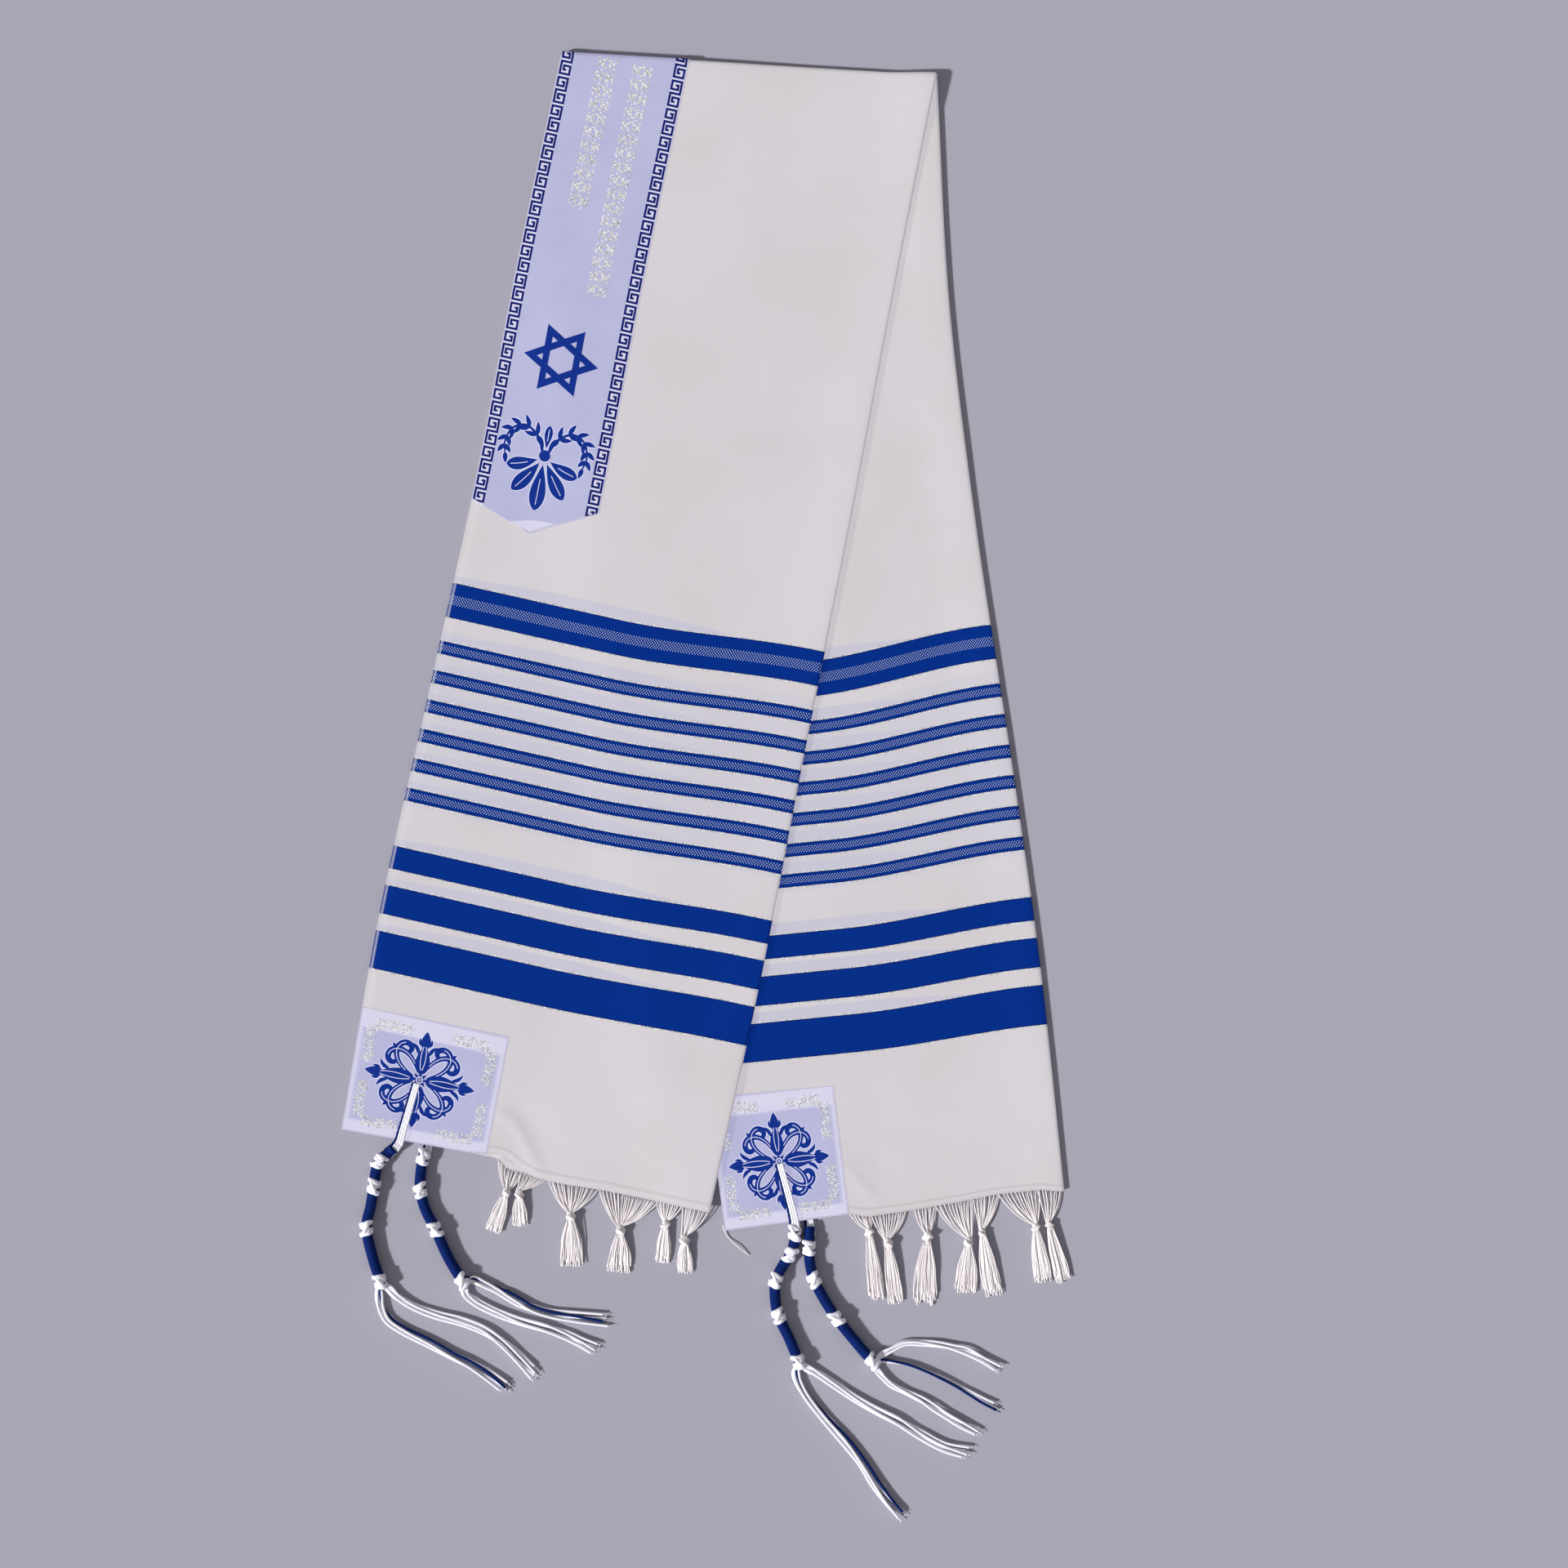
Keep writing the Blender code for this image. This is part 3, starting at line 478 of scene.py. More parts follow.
class Graph:
    """Short names for the nodes of one material."""

    def __init__(self, name):
        self.material = bpy.data.materials.new(name)
        self.material.use_nodes = True
        self.tree = self.material.node_tree
        self.shader = self.tree.nodes["Principled BSDF"]

    def node(self, kind, inputs, output=0, **settings):
        node = self.tree.nodes.new(kind)
        for key, value in settings.items():
            setattr(node, key, value)
        for key, value in inputs.items():
            self.feed(node.inputs[key], value)
        return Value(self, node.outputs[output])

    def feed(self, socket, value):
        if isinstance(value, Value):
            self.tree.links.new(value.socket, socket)
        else:
            socket.default_value = value

    def math(self, operation, a, b=0.0):
        return self.node("ShaderNodeMath", {0: a, 1: b}, operation=operation)

    def least(self, a, b):
        return self.math("MINIMUM", a, b)

    def most(self, a, b):
        return self.math("MAXIMUM", a, b)

    def wave(self, value, pitch):
        """A sine wave of this pitch."""
        return self.math("SINE", value * (2 * math.pi / pitch))

    def band(self, value, half, soft):
        """1 where the value lies within half of zero, with soft edges."""
        return self.ramp(abs(value), half + soft, half - soft)

    def ramp(self, value, low, high, to_low=0.0, to_high=1.0):
        inputs = {"Value": value, "From Min": low, "From Max": high, "To Min": to_low, "To Max": to_high}
        return self.node("ShaderNodeMapRange", inputs, interpolation_type="SMOOTHSTEP")

    def mix(self, share, a, b):
        return self.node("ShaderNodeMix", {0: share, 6: a, 7: b}, 2, data_type="RGBA")

    def attribute(self, name):
        return self.node("ShaderNodeAttribute", {}, "Vector", attribute_name=name)

    def split(self, vector):
        split = self.node("ShaderNodeSeparateXYZ", {0: vector})
        return [Value(self, socket) for socket in split.socket.node.outputs]

    def noise(self, vector, scale, detail=2.0):
        return self.node("ShaderNodeTexNoise", {"Vector": vector, "Scale": scale, "Detail": detail}, "Fac")

    def cells(self, vector, scale, output):
        return self.node("ShaderNodeTexVoronoi", {"Vector": vector, "Scale": scale}, output)

    def bump(self, height, distance, strength, below=None):
        inputs = {"Height": height, "Distance": distance, "Strength": strength}
        if below:
            inputs["Normal"] = below
        return self.node("ShaderNodeBump", inputs)

    def set(self, **values):
        for key, value in values.items():
            self.feed(self.shader.inputs[key.replace("_", " ")], value)


def rgb(red, green, blue):
    """A colour read as 8-bit sRGB, in linear light."""
    def linear(value):
        value /= 255
        return value / 12.92 if value <= 0.04045 else ((value + 0.055) / 1.055) ** 2.4
    return (linear(red), linear(green), linear(blue), 1.0)


WHITE = rgb(216, 211, 215)
SHEER_TINT = rgb(200, 198, 214)
BLUE = rgb(2, 50, 142)
DEEP_BLUE = rgb(0, 40, 124)
NAVY = rgb(2, 6, 74)
DOT = rgb(172, 194, 246)
SILVER = rgb(252, 252, 254)
LAVENDER = rgb(184, 184, 218)
LAVENDER_DOT = rgb(176, 176, 214)
LAVENDER_PALE = rgb(217, 214, 236)
SEAM_THREAD = rgb(226, 223, 240)
# SEAM_SHADE is painted shade, along the seam and between the stitches
SEAM_SHADE = rgb(158, 156, 190)
OVERSEW = 0.8 * MM
THREAD_PITCH = 0.62 * MM


def nearest_stripe(g, distance, middle_column, width_column):
    """Distance to the edge of the nearest stripe or dotted band of the table, negative inside."""
    found = None
    for row in STRIPES:
        if row[width_column]:
            edge = abs(distance - row[middle_column] * MM) - 0.5 * row[width_column] * MM
            found = g.least(found, edge) if found else edge
    return found


def dot_waves(g, x, y):
    """1 at the middle of each woven dot, in rows that alternate, and -1 between them."""
    row = (y - (DOT_ROWS_FROM + 0.5 * DOT_ROWS)) * (math.pi / DOT_ROWS)
    return g.math("COSINE", x * (2 * math.pi / DOT_PITCH)) * g.math("COSINE", row)


def ticks(g, x, y, pitch, slant):
    """1 on slanted stitches at this pitch along y, 0 between them."""
    return g.ramp(g.wave(y + x * slant, pitch), -0.1, 0.4)


def cloth_material():
    """White plain weave with blue stripes between silver threads, over a faint print of the layer below."""
    g = Graph("cloth")
    cut = g.attribute("cut")
    x, y, _ = g.split(cut)
    end = 0.5 * CUT_LENGTH - abs(y)
    hem = g.least(x, CUT_WIDTH - x)
    edge = nearest_stripe(g, end, 0, 1) + (g.noise(cut, 900.0, 1.0) - 0.5) * (0.5 * MM)
    stripe = g.ramp(edge, 0.12 * MM, -0.12 * MM)
    dotted = g.ramp(nearest_stripe(g, end, 2, 3), 0.1 * MM, -0.1 * MM)
    dots = dot_waves(g, x, end)

    # The two layers: closely set stripes make the sheer ground darker, and the layer below shows through
    share = hem / STRIP_WIDTH
    shift = g.ramp(share, 0.0, 0.3, 0.6, 1.0) * g.ramp(share, 0.85, 0.5) * (-9.5 * MM)
    below = g.ramp(nearest_stripe(g, end + shift, 0, 1), 0.9 * MM, -0.9 * MM)
    tight = g.ramp(end, 266 * MM, 268 * MM) * g.ramp(end, 412 * MM, 410 * MM)
    ground = g.mix(g.ramp(g.noise(cut, 9.0, 3.0), 0.3, 0.7), WHITE, rgb(212, 206, 210))
    ground = g.mix(g.most(tight * 0.35, below * 0.85), ground, SHEER_TINT)

    # Blue stripes
    shade = g.band(edge + 0.5 * MM, 0.35 * MM, 0.2 * MM)
    blue = g.mix((g.wave(x + y, 1.3 * MM) + 1.0) * 0.5, BLUE, rgb(3, 46, 136))
    blue = g.mix(g.noise(cut, 700.0) * 0.5, blue, DEEP_BLUE)
    blue = g.mix(shade * 0.6, blue, NAVY)
    woven = g.mix(g.ramp(dots, 0.2, 0.7), g.mix(g.ramp(dots, -0.1, -0.6), blue, NAVY), DOT)
    colour = g.mix(stripe, ground, g.mix(dotted, blue, woven))

    # Silver threads beside them, with painted glints
    dashes = g.ramp(g.wave(x + end * 0.6, DOT_PITCH), -0.9, 0.1, 0.6, 1.0)
    silver = dashes * g.band(edge - 0.4 * SILVER_LINE, 0.5 * SILVER_LINE, 0.15 * MM)
    # Painted glints: light and grey specks stand in for the sparkle of the metal thread
    painted_glint = g.ramp(g.cells(cut, 1400.0, "Distance"), 0.35, 0.6)
    colour = g.mix(silver * 0.9, colour, g.mix(painted_glint, SILVER, rgb(168, 166, 168)))

    # Stitches over the hems, and at the fringed ends a groove along the header's inner edge with painted
    # shade in it, and the first threads
    stitched = stripe * g.band(hem - 1.7 * MM, 1.0 * MM, 0.2 * MM) * ticks(g, hem, y, 1.5 * MM, 0.8)
    colour = g.mix(stitched * 0.85, colour, rgb(225, 225, 235))
    # Painted shade: a darker line along the groove at the header's inner edge
    header_groove_shade = g.band(end - 9.5 * MM, 0.9 * MM, 0.8 * MM)
    colour = g.mix(header_groove_shade * 0.28, colour, rgb(168, 160, 166))
    first = g.band(end - 1.1 * MM, 0.5 * MM, 0.2 * MM) * g.math("GREATER_THAN", g.wave(x, 2.2 * MM), 0.1)
    colour = g.mix(first * 0.55, colour, rgb(150, 143, 148))
    g.set(Base_Color=colour, Roughness=g.mix(silver, (0.86,) * 3 + (1,), (0.3,) * 3 + (1,)),
          Specular_IOR_Level=0.05)
    weave = g.wave(x, THREAD_PITCH) * g.wave(y, THREAD_PITCH)
    normal = g.bump(weave * 0.5 + stripe * 1.2 + header_groove_shade * -2.5, 0.05 * MM, 0.7)
    normal = g.bump(g.noise(cut, 60.0, 3.0), 0.4 * MM, 0.3, normal)
    g.set(Normal=g.bump(g.noise(cut, 13.0), 3.0 * MM, 0.5, normal))
    return g.material


# Grid of the cloth: share across or along from and to, and how many lines
CLOTH_COLUMNS = ((0, 0.36, 14), (0.375, 0.60, 20), (0.62, 0.84, 10), (0.86, 0.99, 12))
CLOTH_ROWS = ((1.0, 0.85, 34), (0.84, 0.44, 62), (0.435, 0.0, 62))
NOSE_STEPS = 7
TURN_STEPS = 13


def round_the_fold(shares):
    """Stations along the front flap at these shares, round the crosswise fold, and along the back flap."""
    turns = [("turn", step / TURN_STEPS) for step in range(1, TURN_STEPS)]
    return [("front", share) for share in shares] + turns + [("back", share) for share in shares[::-1]]


def make_cloth():
    """The whole cut as one sheet: a grid over both layers, joined by the roll of the lengthwise fold."""
    columns = np.concatenate([np.linspace(*stretch) for stretch in CLOTH_COLUMNS])
    stations = round_the_fold(np.concatenate([np.linspace(*stretch) for stretch in CLOTH_ROWS]))
    rows = []
    cuts = []
    for kind, share in stations:
        level = np.full_like(columns, share)
        outer, inner = turn_skins(columns, level) if kind == "turn" else skins(kind, columns, level)
        out_flat = unit((outer[-1] - outer[0]) * [1, 1, 0])
        middle = 0.5 * (outer[-1] + inner[-1])
        half = 0.5 * (outer[-1] - inner[-1])
        angles = math.pi * (0.5 - np.arange(1, NOSE_STEPS) / NOSE_STEPS)[:, None]
        nose = middle + half * np.sin(angles) + out_flat * np.linalg.norm(half) * np.cos(angles)
        rows.append(np.concatenate([outer, nose, inner[::-1]]))
        if kind == "turn":
            along = lerp(from_middle("front", columns, 0 * columns),
                         -from_middle("back", columns, 0 * columns), level)
        else:
            along = from_middle(kind, columns, level) * (1 if kind == "front" else -1)
        flat = np.concatenate([columns, np.linspace(0.992, 1.008, NOSE_STEPS - 1), 2 - columns[::-1]])
        along = np.concatenate([along, np.full(NOSE_STEPS - 1, along[-1]), along[::-1]])
        cuts.append(np.stack([flat * STRIP_WIDTH, along, 0 * along], axis=1))
    width = len(rows[0])
    faces = grid_faces(len(rows), width)
    obj = new_mesh_object("shawl_cloth", np.concatenate(rows), faces, cloth_material(),
                          {"cut": np.concatenate(cuts)})
    add_wall(obj, CLOTH_WALL)
    return obj


# Band, patches and their worked ornament

def mapped_strip(side):
    """Maps flat points (across, travel, both in metres) and a lift to the strip."""
    return lambda flat, lift: on_strip(side, flat[..., 0] / STRIP_WIDTH, flat[..., 1], lift)


def mapped_patch(flap, side):
    """Maps flat points (across, distance from the fringed end) and a lift to one flap."""
    def place(flat, lift):
        across = flat[..., 0] / STRIP_WIDTH
        travel = flap_length(flap, across) - flat[..., 1]
        if flap == "back":
            travel = -TURN_LENGTH - travel
        return on_strip(side, across, travel, lift)
    return place


PIECE_REST = 0.35 * MM
PIECE_WALL = 0.5 * MM
PALE_LIFT = PIECE_REST + PIECE_WALL + 0.04 * MM
WORK_LIFT = PIECE_REST + PIECE_WALL + 0.22 * MM
VEIN_LIFT = PIECE_REST + PIECE_WALL + 0.42 * MM
BURIED = 0.25 * MM
PANEL_DOTS = 1.5 * MM


def panel_material(name, pale_zone, edge_distance):
    """Lavender satin with a fine diagonal dot, a paler ground where pale_zone says, and oversewn edges, with
    painted shade between the stitches and in a line along the seam.
    """
    g = Graph(name)
    place = g.attribute("cut")
    x, y, _ = g.split(place)
    dots = g.wave(x + y, PANEL_DOTS) * g.wave(x - y, PANEL_DOTS)
    panel = g.mix(g.ramp(dots, 0.1, 0.9, 0.0, 0.55), LAVENDER, LAVENDER_DOT)
    panel = g.mix(g.ramp(g.noise(place, 25.0), 0.35, 0.7, 0.0, 0.35), panel, rgb(196, 195, 226))
    panel = g.mix(pale_zone(g, x, y), panel, LAVENDER_PALE)
    edge = edge_distance(g, x, y)
    sewn = g.ramp(edge, OVERSEW + 0.15 * MM, OVERSEW - 0.15 * MM)
    stitch = ticks(g, x, y, 1.3 * MM, 1.0)
    # Painted shade in the gaps between the oversewn stitches
    panel = g.mix(sewn * 0.8, panel, g.mix(stitch, SEAM_SHADE, SEAM_THREAD))
    # Painted shade: a thin darker line along the seam inside the oversewn edge
    seam_shade_line = g.band(edge - (OVERSEW + 0.3 * MM), 0.2 * MM, 0.15 * MM)
    panel = g.mix(seam_shade_line * 0.4, panel, SEAM_SHADE)
    g.set(Base_Color=panel, Roughness=0.75, Specular_IOR_Level=0.2)
    relief = dots + g.wave(y, 0.8 * MM) * 0.5 + sewn * stitch * 3.0
    g.set(Normal=g.bump(relief, 0.04 * MM, 0.5))
    return g.material


def sewn_on(name, place, flats, material):
    """A thin wall that lies on the strip over these flat points."""
    level = np.full(flats.shape[:-1], PIECE_REST)
    return thin_sheet(name, place(flats, level + PIECE_WALL), place(flats, level), material, flats)


KEY_FROM_EDGE = 1.1 * MM
KEY_ACROSS = 1.52 * MM
KEY_ALONG = 1.67 * MM
KEY_LINE = 1.7 * MM
KEY_GROUND = 10.3 * MM
# One period of the Greek key, in steps across and along
KEY_PATH = ((2, 2), (3.5, 2), (3.5, 4), (0, 4), (0, 0), (5, 0), (5, 6), (0, 6), (0, 12), (5, 12), (5, 8),
            (1.6, 8), (1.6, 10), (3.1, 10))
KEY_PERIOD = 14 * KEY_ALONG
BAND_WIDTH = BAND_SHARE * STRIP_WIDTH


def band_travel(flap, share, across):
    """Travel to a share along one flap."""
    travel = share * flap_length(flap, across)
    return travel if flap == "front" else -TURN_LENGTH - travel


def band_end(across):
    """Share along a flap of the band's pointed end, at a share across."""
    return BAND_TIP - (BAND_TIP - BAND_END) * np.abs(2 * across / BAND_SHARE - 1)


def make_band():
    middle_length = flap_length("front", 0.5 * BAND_SHARE)

    def edge_distance(g, x, y):
        end = BAND_TIP - abs(x * (2 / BAND_WIDTH) - 1.0) * (BAND_TIP - BAND_END)
        return g.least(g.least(x, BAND_WIDTH - x), end * middle_length - y)

    def pale_zone(g, x, y):
        border = g.ramp(g.least(x, BAND_WIDTH - x), KEY_GROUND + 0.2 * MM, KEY_GROUND - 0.2 * MM)
        tip = abs(y) - abs(x - 0.5 * BAND_WIDTH) * 0.12
        return g.most(border, g.ramp(tip, 377.0 * MM, 379.0 * MM))

    columns = np.linspace(0, BAND_SHARE, 27)
    half = 0.5 * BAND_SHARE
    stations = np.concatenate([np.linspace(BAND_TIP, BAND_END, 9), np.linspace(BAND_END, 0.0, 110)[1:]])
    flats = []
    for kind, share in round_the_fold(stations):
        spread = 1.0 if kind == "turn" else np.clip((BAND_TIP - share) / (BAND_TIP - BAND_END), 0.05, 1.0)
        across = half + (columns - half) * spread
        travel = -share * TURN_LENGTH + 0 * across if kind == "turn" else band_travel(kind, share, across)
        flats.append(np.stack([across * STRIP_WIDTH, travel], axis=-1))
    return sewn_on("atarah_band", mapped_strip("outer"), np.array(flats),
                   panel_material("neckband", pale_zone, edge_distance))


def patch_deep(flap):
    """Length of a patch up from the fringed end."""
    return (1 - PATCH_START) * flap_length(flap, 0.5 * PATCH_SHARE[flap])


def make_patch(flap, side, name):
    width = PATCH_SHARE[flap] * STRIP_WIDTH
    deep = patch_deep(flap)

    def edge_distance(g, x, y):
        return g.least(g.least(x, width - x), g.least(y, deep - y))

    def pale_zone(g, x, y):
        ends = g.most(g.ramp(y, deep - 17.5 * MM, deep - 14.5 * MM), g.ramp(y, 11.5 * MM, 8.5 * MM))
        return g.most(ends, g.ramp(g.least(x, width - x), 7 * MM, 1.0 * MM))

    columns, shares = np.meshgrid(np.linspace(0, PATCH_SHARE[flap], 30), np.linspace(PATCH_START, 1.0, 28))
    flats = np.stack([columns * STRIP_WIDTH, (1 - shares) * flap_length(flap, columns)], axis=-1)
    return sewn_on(name, mapped_patch(flap, side), flats, panel_material(name, pale_zone, edge_distance))


LAYER_STEP = 0.0025 * MM   # crossing strokes differ by this, so that no two lie in one plane
LAYERS = 60


class Work:
    """Flat worked ornament: strokes in flat coordinates, turned into one thin closed mesh."""

    def __init__(self):
        self.flat = []
        self.top = []
        self.faces = []
        self.count = 0
        self.strokes = 0

    def ribbon(self, left, right, closed=False):
        """A thin closed strip between two lines of flat points."""
        count = len(left)
        self.flat.append(np.concatenate([left, right, left, right]))
        above = LAYER_STEP * (self.strokes % LAYERS)
        self.strokes += 1
        self.top.append(np.repeat([above, above, -1.0, -1.0], count))
        for k in range(count if closed else count - 1):
            a = self.count + k
            b = self.count + (k + 1) % count
            for low, high in ((0, 1), (3, 2), (2, 0), (1, 3)):
                self.faces.append((a + low * count, a + high * count, b + high * count, b + low * count))
        if not closed:
            for k in (self.count, self.count + count - 1):
                self.faces.append((k, k + count, k + 3 * count, k + 2 * count))
        self.count += 4 * count

    def stroke(self, path, half, closed=False):
        """A ribbon of this half width, one number or one for each point, with mitred corners."""
        path = np.asarray(path, float)
        half = np.broadcast_to(np.asarray(half, float), len(path))
        before = np.roll(path, 1, axis=0)
        after = np.roll(path, -1, axis=0)
        if not closed:
            before[0] = 2 * path[0] - path[1]
            after[-1] = 2 * path[-1] - path[-2]
        first = unit(path - before)
        second = unit(after - path)
        normal = unit(first + second)[:, ::-1] * [-1, 1]
        turn = (normal * (first[:, ::-1] * [-1, 1])).sum(-1)
        reach = (half / np.maximum(turn, 0.45))[:, None]
        self.ribbon(path + normal * reach, path - normal * reach, closed)

    def finish(self, name, place, lift, material, clip=None):
        """The mesh, laid by place at this lift. What clip moves stays inside an outline."""
        flat = np.concatenate(self.flat)
        if clip:
            flat = clip(flat)
        top = np.concatenate(self.top)
        points = place(flat, np.where(top >= 0, lift + top, PIECE_REST + BURIED))
        obj = new_mesh_object(name, points, self.faces, material, smooth_angle=30)
        face_outwards(obj.data)
        return obj


def dense(path, step=1.2 * MM):
    """The same corners with more points between them."""
    path = np.asarray(path, float)
    made = [path[:1]]
    for a, b in zip(path, path[1:]):
        count = max(1, math.ceil(np.linalg.norm(b - a) / step))
        made.append(a + (b - a) * (np.arange(1, count + 1) / count)[:, None])
    return np.concatenate(made)


def leaf(start, heading, length, width, bend=0.0, count=14):
    """Middle line and half widths of a pointed leaf."""
    share = np.linspace(0, 1, count)
    angle = heading + bend * share
    steps = length / (count - 1) * np.stack([np.cos(angle), np.sin(angle)], axis=-1)
    path = np.asarray(start, float) + np.concatenate([[[0, 0]], np.cumsum(steps[:-1], axis=0)])
    return path, 0.5 * width * np.sin(math.pi * share ** 0.75) ** 0.8 + 0.05 * MM


def volute(start, heading, length, turns, width, side=1, count=40):
    """Middle line and half widths of a scroll that curls up more and more."""
    share = np.linspace(0, 1, count)
    angle = heading + side * turns * 2 * math.pi * share ** 1.7
    pace = (1.25 - share ** 0.9)
    steps = length * pace[:, None] / pace.sum() * np.stack([np.cos(angle), np.sin(angle)], axis=-1)
    path = np.asarray(start, float) + np.concatenate([[[0, 0]], np.cumsum(steps[:-1], axis=0)])
    return path, 0.5 * width * (0.35 + 0.65 * np.sin(math.pi * np.clip(share * 1.05, 0, 1)) ** 0.7)


def disc(centre, radius, count=10):
    """A round dot as a short fat stroke."""
    share = np.linspace(-0.97, 0.97, count)
    path = np.stack([centre[0] + radius * share, centre[1] + 0 * share], axis=-1)
    return path, radius * np.sqrt(1 - share ** 2)


def turned(path, angle, centre=(0, 0), flip=False):
    path = np.asarray(path, float) * ([-1, 1] if flip else [1, 1])
    c, s = math.cos(angle), math.sin(angle)
    return path @ np.array([[c, s], [-s, c]]) + np.asarray(centre)


def thread_material(name, colour, second, roughness=0.8):
    g = Graph(name)
    place = g.node("ShaderNodeTexCoord", {}, "Object")
    spread = g.ramp(g.noise(place, 900.0), 0.3, 0.7)
    g.set(Base_Color=g.mix(spread, colour, second), Roughness=roughness, Specular_IOR_Level=0.15)
    g.set(Normal=g.bump(g.noise(place, 2500.0), 0.05 * MM, 0.4))
    return g.material


def silver_material():
    """Metal thread: a fine glitter of light and grey specks, which are painted glints."""
    g = Graph("silver_thread")
    place = g.node("ShaderNodeTexCoord", {}, "Object")
    red, green, _ = g.split(g.cells(place, 1900.0, "Color"))
    # Painted glints: light and grey specks stand in for the sparkle of the metal
    g.set(Base_Color=g.mix(g.ramp(red, 0.2, 0.6), rgb(146, 143, 148), rgb(246, 246, 242)),
          Roughness=g.ramp(green, 0.0, 1.0, 0.3, 0.7), Metallic=0.1)
    g.set(Normal=g.bump(red, 0.1 * MM, 0.8))
    return g.material


WORK_BLUE = thread_material("worked_blue", rgb(8, 50, 146), rgb(4, 40, 130))
KEY_BLUE = thread_material("key_blue", rgb(4, 26, 118), rgb(0, 12, 92))
WORK_PALE = thread_material("worked_outline", rgb(222, 222, 246), rgb(212, 212, 240))
SILVER_THREAD = silver_material()


def greek_keys():
    """Both borders, from one pointed end over the fold to the other. The ends cut the last key."""
    work = Work()
    key_width = 5 * KEY_ACROSS + KEY_LINE
    for from_edge in (KEY_FROM_EDGE, BAND_WIDTH - KEY_FROM_EDGE - key_width):
        across = (from_edge + 0.5 * key_width) / STRIP_WIDTH
        last = band_travel("front", band_end(across), across) + 0.4 * KEY_PERIOD
        first = band_travel("back", band_end(across), across) - 0.4 * KEY_PERIOD
        for k in range(int((last - first) / KEY_PERIOD)):
            top = last - k * KEY_PERIOD
            steps = np.array(KEY_PATH) * [KEY_ACROSS, KEY_ALONG]
            steps[:, 1] = top - (KEY_PERIOD - steps[:, 1])
            steps[:, 0] += from_edge + 0.5 * KEY_LINE
            work.stroke(dense(steps), 0.5 * KEY_LINE)
    return work


def slanted(flat):
    """Work laid out square on the band, as places on the strip, whose crosswise fold is slanted."""
    return flat + (flat[:, :1] - 0.5 * BAND_WIDTH) * [0, FOLD_SLANT / STRIP_WIDTH]


def inside_band(flat):
    """The same, moved back to the band's pointed ends where it lies past them."""
    flat = slanted(flat)
    across = flat[:, 0] / STRIP_WIDTH
    share = band_end(across)
    front = band_travel("front", share, across) - OVERSEW
    back = band_travel("back", share, across) + OVERSEW
    return np.stack([flat[:, 0], np.clip(flat[:, 1], back, front)], axis=-1)


STAR_CENTRE = (49.5 * MM, 249.0 * MM)
STAR_RADIUS = 30.3 * MM
STAR_ARM = 5.3 * MM
STAR_STEPS = 40
CREST_CENTRE = (50.6 * MM, 330.0 * MM)
VINE_ROWS = ((38.0 * MM, 132 * MM), (67.0 * MM, 200 * MM))


def star(work, centre):
    """Two crossed triangles, with two points across the band."""
    for turn in (0, math.pi):
        angles = turn + np.arange(4) * 2 * math.pi / 3
        at = np.arange(3 * STAR_STEPS) / STAR_STEPS
        rings = []
        for radius in (STAR_RADIUS - 2 * STAR_ARM, STAR_RADIUS):
            x = centre[0] + radius * np.interp(at, range(4), np.cos(angles))
            y = centre[1] + radius * np.interp(at, range(4), np.sin(angles))
            rings.append(np.stack([x, y], axis=-1))
        work.ribbon(*rings, closed=True)


OUTLINE = 0.75 * MM
VEIN = 0.3 * MM


def petal(start, heading, length, width, bend=0.0, count=24):
    """Middle line and half widths of a petal that is widest near its round tip, with more points there."""
    share = 1 - (1 - np.linspace(0, 1, count)) ** 2
    angle = heading + bend * share[:-1]
    steps = length * np.diff(share)[:, None] * np.stack([np.cos(angle), np.sin(angle)], axis=-1)
    path = np.asarray(start, float) + np.concatenate([[[0, 0]], np.cumsum(steps, axis=0)])
    return path, 0.5 * width * np.sin(math.pi * share ** 1.6) ** 0.6 + 0.05 * MM


# Middle line of a leafy spray, in millimetres from the middle of the ornament
SPRAY = ((2.0, -6), (8, -18), (19, -25), (29.5, -20.5), (33.5, -9), (31.5, 1))
SPRAY_LEAVES = 6
PETAL_SPREAD = 0.54


def palmette(blue, pale, vein, centre, ahead):
    """A fan of five petals with two leafy sprays. It points ahead: 1 for the front flap, -1 for the back."""
    def put(made, veined=None):
        path, half = made
        placed = turned(path * [1, ahead], 0, centre)
        blue.stroke(placed, half)
        pale.stroke(placed, half + OUTLINE)
        if veined:
            vein.stroke(placed[slice(*veined)], np.minimum(VEIN, 0.4 * half)[slice(*veined)])
    for k in range(-2, 3):
        angle = math.pi / 2 + PETAL_SPREAD * k
        root = (6 * MM * math.cos(angle), -3 * MM + 6 * MM * math.sin(angle))
        put(petal(root, angle, (37 - 6 * abs(k)) * MM, (12.5 - 1.2 * abs(k)) * MM, 0.16 * k), (4, 16))
    stem = catmull(np.array(SPRAY) * MM, np.linspace(0, 1, 41))
    for side in (-1, 1):
        mirrored = stem * [side, 1]
        put((mirrored, 1.2 * MM - 0.6 * MM * np.linspace(0, 1, len(stem))))
        for k in range(SPRAY_LEAVES):
            at = 9 + 5 * k
            forward = mirrored[at + 1] - mirrored[at - 1]
            heading = math.atan2(forward[1], forward[0])
            for turn in (-1, 1):
                put(leaf(mirrored[at], heading + 0.85 * turn, (10.6 - 0.5 * k) * MM, 3.7 * MM, -0.35 * turn))
        forward = mirrored[-1] - mirrored[-2]
        put(leaf(mirrored[-2], math.atan2(forward[1], forward[0]), 8.5 * MM, 3.8 * MM))
        put(petal((side * 2.0 * MM, -9 * MM), -math.pi / 2 + side * 0.42, 12 * MM, 4.6 * MM, side * 0.5))
    put(petal((0, -10 * MM), -math.pi / 2, 18 * MM, 6.4 * MM), (4, 15))
    put(disc((0, -4.0 * MM), 4.6 * MM))


